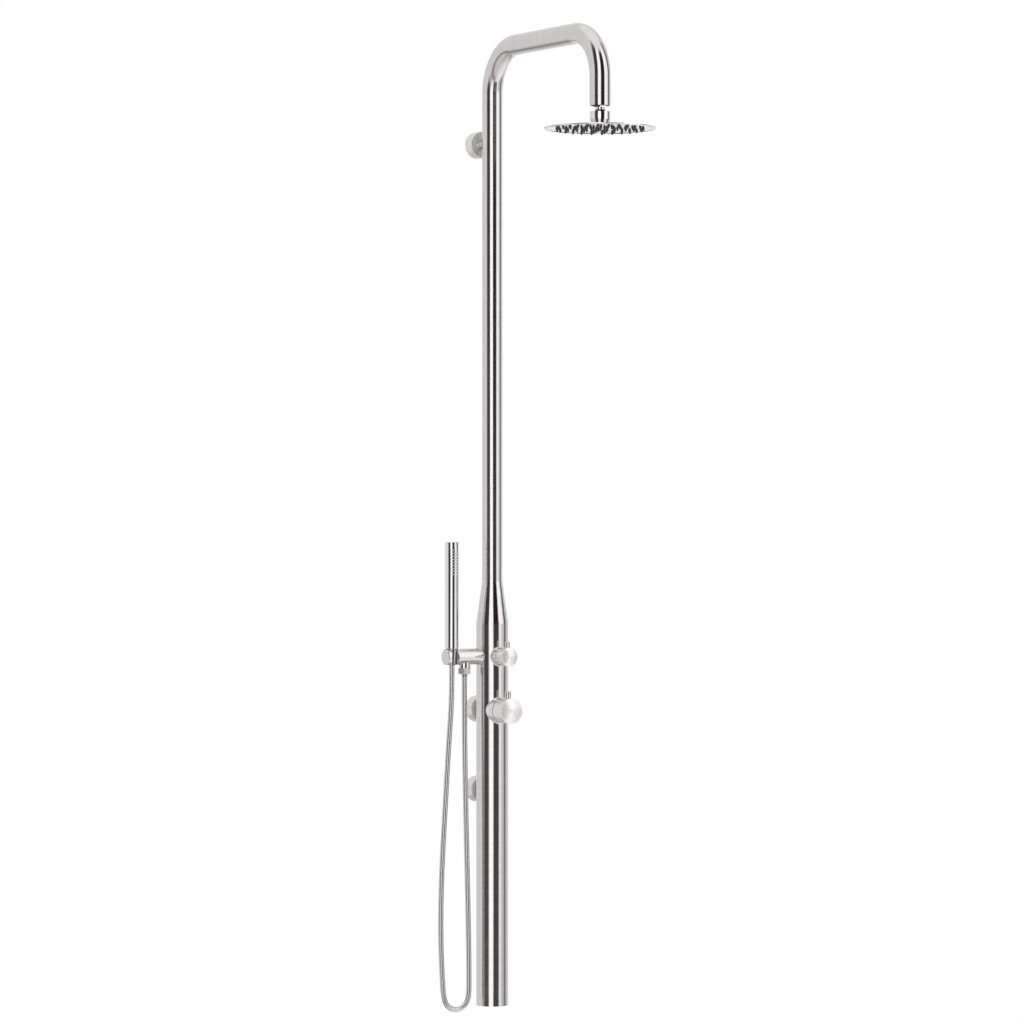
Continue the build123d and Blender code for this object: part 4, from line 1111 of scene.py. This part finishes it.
class SHOWER_OT_hose(bpy.types.Operator):
    """Hose with its nuts, ferrules and washers"""

    bl_idname = "shower.hose"
    bl_label = "Hose"

    def execute(self, context):
        radius = sizes().hose_radius
        path = self.line()
        builder = swept("hose_skin", path, radius, 24)
        mesh = finish_mesh("hose_skin", builder, 50)
        hose = new_piece("hose_skin", mesh, hose_skin(), None)
        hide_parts("hose")
        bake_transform(hose)
        nickel = tuple(looks().nickel)
        nut = self.union_nut(nickel)
        low_ferrule = self.ferrule("lower_ferrule", "column", nickel)
        self.ferrule("upper_ferrule", "hose_end", nickel)
        dress("cone_nut", turned_metal("cone_nickel", nickel, 0.12, "cone_nut", Z_AXIS,
                                       depth=0.000006))
        black = soft_material("seal_black", (0.03, 0.03, 0.03), 0.6)
        for node in ("lower_hose_washer", "upper_hose_washer"):
            dress(node, black)
        return {"FINISHED"}

    def line(self):
        """Points along the hose's smooth line."""
        curve = bpy.data.curves.new("hose_line", "CURVE")
        curve.dimensions = "3D"
        curve.resolution_u = 24
        spline = curve.splines.new("NURBS")
        spline.points.add(len(HOSE_ROUTE) - 1)
        for point, place in zip(spline.points, HOSE_ROUTE):
            point.co = (*place, 1)
        spline.order_u = 3
        spline.use_endpoint_u = True
        holder = bpy.data.objects.new("hose_line", curve)
        bpy.context.scene.collection.objects.link(holder)
        bpy.context.view_layer.update()
        depsgraph = bpy.context.evaluated_depsgraph_get()
        mesh = bpy.data.meshes.new_from_object(holder.evaluated_get(depsgraph))
        points = [vertex.co.copy() for vertex in mesh.vertices]
        bpy.data.meshes.remove(mesh)
        bpy.data.objects.remove(holder)
        bpy.data.curves.remove(curve)
        return points

    def union_nut(self, colour):
        """Hexagonal nut with turned-off corners and a bored lip."""
        node = "hose_union_nut"
        low, high, middle = span(node)
        origin = Vector((middle.x, middle.y, low.z))
        height = high.z - low.z
        corner = (high.x - low.x) / 2
        flat = (high.y - low.y) / 2
        bore = 10.0 * MM
        lip_bore = 5.6 * MM
        builder = bmesh.new()
        rows = 24
        per_side = 8
        rings = []
        for row in range(rows + 1):
            distance = height * row / rows
            from_end = min(distance, height - distance)
            limit = flat + (corner - flat) * min(1.0, 0.15 + from_end / (0.16 * height))
            ring = []
            for step in range(6 * per_side):
                angle = 2 * math.pi * step / (6 * per_side)
                in_side = (angle % (math.pi / 3)) - math.pi / 6
                reach = min(flat / math.cos(in_side), limit)
                ring.append(builder.verts.new(origin + Vector((
                    reach * math.cos(angle), reach * math.sin(angle), distance))))
            rings.append(ring)
        inner = []
        for radius, distance in ((bore, height), (bore, 2 * MM), (lip_bore, 2 * MM),
                                 (lip_bore, 0)):
            ring = []
            for step in range(6 * per_side):
                angle = 2 * math.pi * step / (6 * per_side)
                ring.append(builder.verts.new(origin + Vector((
                    radius * math.cos(angle), radius * math.sin(angle), distance))))
            inner.append(ring)
        loop = rings + inner + [rings[0]]
        for lower, upper in zip(loop, loop[1:]):
            for step in range(len(lower)):
                after = (step + 1) % len(lower)
                builder.faces.new((lower[step], lower[after], upper[after], upper[step]))
        material, tree, shader = metal("nut_nickel", shaded(colour, 1.1), 0.26, spread=0.1)
        shader.inputs["Metallic"].default_value = 0.55
        piece = new_piece("union_nut", finish_mesh("union_nut", builder, 25), material, "column")
        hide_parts(node)
        return piece

    def ferrule(self, node, body, colour):
        """Crimped ferrule: a flange and a stem with pressed rings."""
        low, high, middle = span(node)
        height = high.z - low.z
        flange_r = (high.x - low.x) / 2
        flange = 2 * MM
        stem = 5.6 * MM
        bore = 3.5 * MM
        ease = 0.35 * MM
        outline = [(bore, 0), (stem, 0, ease)]
        ring_step = 1.6 * MM
        for index in range(2):
            at = 1.1 * MM + index * ring_step
            outline += [
                (stem, at), (stem - 0.25 * MM, at + 0.2 * MM), (stem - 0.25 * MM, at + 0.5 * MM),
                (stem, at + 0.7 * MM),
            ]
        outline += [
            (stem, height - flange), (flange_r, height - flange, ease),
            (flange_r, height, ease), (bore, height), (bore, 0),
        ]
        origin = Vector((middle.x, middle.y, low.z))
        material = turned_metal("ferrule_nickel", colour, 0.14, node, Z_AXIS, depth=0.000006)
        piece = turned(node + "_crimped", outline, origin, Z_AXIS, material, body, steps=64)
        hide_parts(node)
        return piece


class SHOWER_OT_hand_shower(bpy.types.Operator):
    """Hand shower stick, its cap and its spray insert"""

    bl_idname = "shower.hand_shower"
    bl_label = "Hand shower"

    def execute(self, context):
        bright = tuple(looks().bright_steel)
        for node in ("handset_body", "handset_cap"):
            dress(node, turned_metal(
                "stick_steel", bright, 0.05, node, Z_AXIS, depth=0.000002, brushed=0.2,
            ))
        dress("spray_insert", soft_material("spray_grey", (0.66, 0.66, 0.67), 0.35))
        return {"FINISHED"}


class SHOWER_OT_rain_head(bpy.types.Operator):
    """Rain head: ball joint, plates and nozzles"""

    bl_idname = "shower.rain_head"
    bl_label = "Rain head"

    def execute(self, context):
        bright = tuple(looks().bright_steel)
        for node in ("ball_nipple", "swivel_collar", "head_hub"):
            dress(node, turned_metal("head_bright", bright, 0.07, node, Z_AXIS,
                                     depth=0.000004))
        self.dish()
        dress("head_spray_plate", brushed_plate("plate_spray", bright, 0.07))
        self.nozzles()
        return {"FINISHED"}

    def dish(self):
        """Top plate: a shallow dish with a turned-down rim and a chamfer under it."""
        low, high, middle = span("head_top_plate")
        radius = (high.x - low.x) / 2
        rim = radius - (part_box("head_spray_plate")[1].x - middle.x)
        hub = (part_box("head_hub")[1].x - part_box("head_hub")[0].x) / 2 + 2 * MM
        plate = 1 * MM
        chamfer = sizes().rim_chamfer
        lip = 0.8 * MM
        height = high.z - low.z
        outline = [
            (hub - 8 * MM, height - plate), (hub, height - plate), (radius - rim, plate),
            (radius - rim, -lip), (radius - chamfer, -lip), (radius, chamfer - lip),
            (radius, 2 * plate - 0.2 * MM, 0.3 * MM), (hub, height, 6 * MM),
            (hub - 8 * MM, height),
        ]
        piece = turned(
            "head_dish", outline, Vector((middle.x, middle.y, low.z)), Z_AXIS,
            turned_metal("plate_top", tuple(looks().bright_steel), 0.14), "shower_head",
            steps=192,
        )
        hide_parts("head_top_plate")

    def nozzles(self):
        """Silicone nozzles in rings, each with a foot ring, a taper and an open tip."""
        low, high, middle = span("nozzle_mat")
        plate_low, plate_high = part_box("head_spray_plate")
        wide = sizes().nozzle_radius
        tip = sizes().nozzle_tip
        stand = plate_low.z - low.z + 0.6 * MM
        rings = ((15.5, 5), (31.0, 10), (46.5, 15), (62.0, 20), (77.5, 26))
        places = [Vector((middle.x, middle.y, plate_low.z))]
        for radius, count in rings:
            for index in range(count):
                angle = 2 * math.pi * index / count
                places.append(places[0] + Vector((math.cos(angle), -math.sin(angle), 0))
                              * (radius * MM))
        outline = eased([
            (wide, -1.2 * MM), (wide, 0), (wide + 0.35 * MM, 0, 0.1 * MM),
            (wide + 0.35 * MM, 0.5 * MM, 0.2 * MM), (wide - 0.1 * MM, 0.6 * MM),
            (tip, stand, 0.25 * MM), (tip * 0.5, stand), (tip * 0.42, stand - 1.4 * MM),
            (0, stand - 1.4 * MM),
        ], 2)
        builder = bmesh.new()
        for place in places:
            lathe(builder, outline, place, -Z_AXIS, 20)
        dark = soft_material("nozzle_dark", tuple(looks().nozzle_grey), 0.45)
        piece = new_piece("head_nozzles", finish_mesh("head_nozzles", builder), dark,
                          "shower_head")
        mat_r = (high.x - low.x) / 2
        mat_top = high.z - plate_high.z
        sheet = turned(
            "nozzle_sheet", [(0, 0), (mat_r, 0), (mat_r, mat_top), (0, mat_top)],
            Vector((middle.x, middle.y, plate_high.z)), Z_AXIS, dark, "shower_head",
        )
        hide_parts("nozzle_mat")


class SHOWER_OT_inner_pieces(bpy.types.Operator):
    """Water ways, valves, cartridges and seals inside the column"""

    bl_idname = "shower.inner_pieces"
    bl_label = "Inner pieces"

    def execute(self, context):
        brass = metal("brass_plain", (0.78, 0.60, 0.32), 0.3)[0]
        copper = metal("copper_drawn", (0.80, 0.42, 0.28), 0.28, shade=0.8)[0]
        screw = metal("screw_plain", (0.5, 0.5, 0.49), 0.32)[0]
        ivory = soft_material("plastic_ivory", (0.78, 0.77, 0.73), 0.45)
        black = soft_material("seal_black", (0.03, 0.03, 0.03), 0.6)
        finishes = {
            brass: (
                "mixer_valve_body", "mixer_cartridge_nut", "mixer_spindle",
                "diverter_valve_body", "diverter_cartridge_nut", "diverter_spindle",
                "cold_elbow", "hot_coupling", "arm_end_bush",
            ),
            copper: (
                "cold_feed_pipe", "mixed_water_pipe", "hand_feed_pipe", "head_feed_pipe",
            ),
            screw: ("mixer_grub_screw", "diverter_grub_screw"),
            ivory: (
                "mixer_cartridge", "diverter_cartridge", "inlet_strainers",
                "non_return_valves", "ball_seat_ring", "flow_restrictor",
            ),
            black: ("nipple_seal",),
        }
        for material, nodes in finishes.items():
            for node in nodes:
                dress(node, material)
        return {"FINISHED"}


OPERATORS = (
    SHOWER_OT_stage,
    SHOWER_OT_column,
    SHOWER_OT_wall_fixings,
    SHOWER_OT_controls,
    SHOWER_OT_holder,
    SHOWER_OT_hose,
    SHOWER_OT_hand_shower,
    SHOWER_OT_rain_head,
    SHOWER_OT_inner_pieces,
)


class SHOWER_PT_panel(bpy.types.Panel):
    """Lists the shower's operators and settings"""

    bl_idname = "SHOWER_PT_panel"
    bl_label = "Wall Shower Column"
    bl_space_type = "VIEW_3D"
    bl_region_type = "UI"
    bl_category = "Shower"

    def draw(self, context):
        for operator in OPERATORS:
            self.layout.operator(operator.bl_idname)
        for title, group in (
            ("Sizes", context.scene.shower_sizes),
            ("Finishes", context.scene.shower_looks),
            ("Stage", context.scene.shower_stage),
        ):
            box = self.layout.box()
            box.label(text=title)
            for name in group.bl_rna.properties.keys():
                if name not in ("rna_type", "name"):
                    box.prop(group, name)


CLASSES = (ShowerSizes, ShowerLooks, StageSettings, *OPERATORS, SHOWER_PT_panel)


def register():
    for made in CLASSES:
        bpy.utils.register_class(made)
    bpy.types.Scene.shower_sizes = PointerProperty(type=ShowerSizes)
    bpy.types.Scene.shower_looks = PointerProperty(type=ShowerLooks)
    bpy.types.Scene.shower_stage = PointerProperty(type=StageSettings)


def unregister():
    del bpy.types.Scene.shower_stage
    del bpy.types.Scene.shower_looks
    del bpy.types.Scene.shower_sizes
    for made in reversed(CLASSES):
        bpy.utils.unregister_class(made)


def main():
    """Builds every piece."""
    register()
    for operator in OPERATORS:
        group, name = operator.bl_idname.split(".")
        getattr(getattr(bpy.ops, group), name)()


if __name__ == "__main__":
    main()
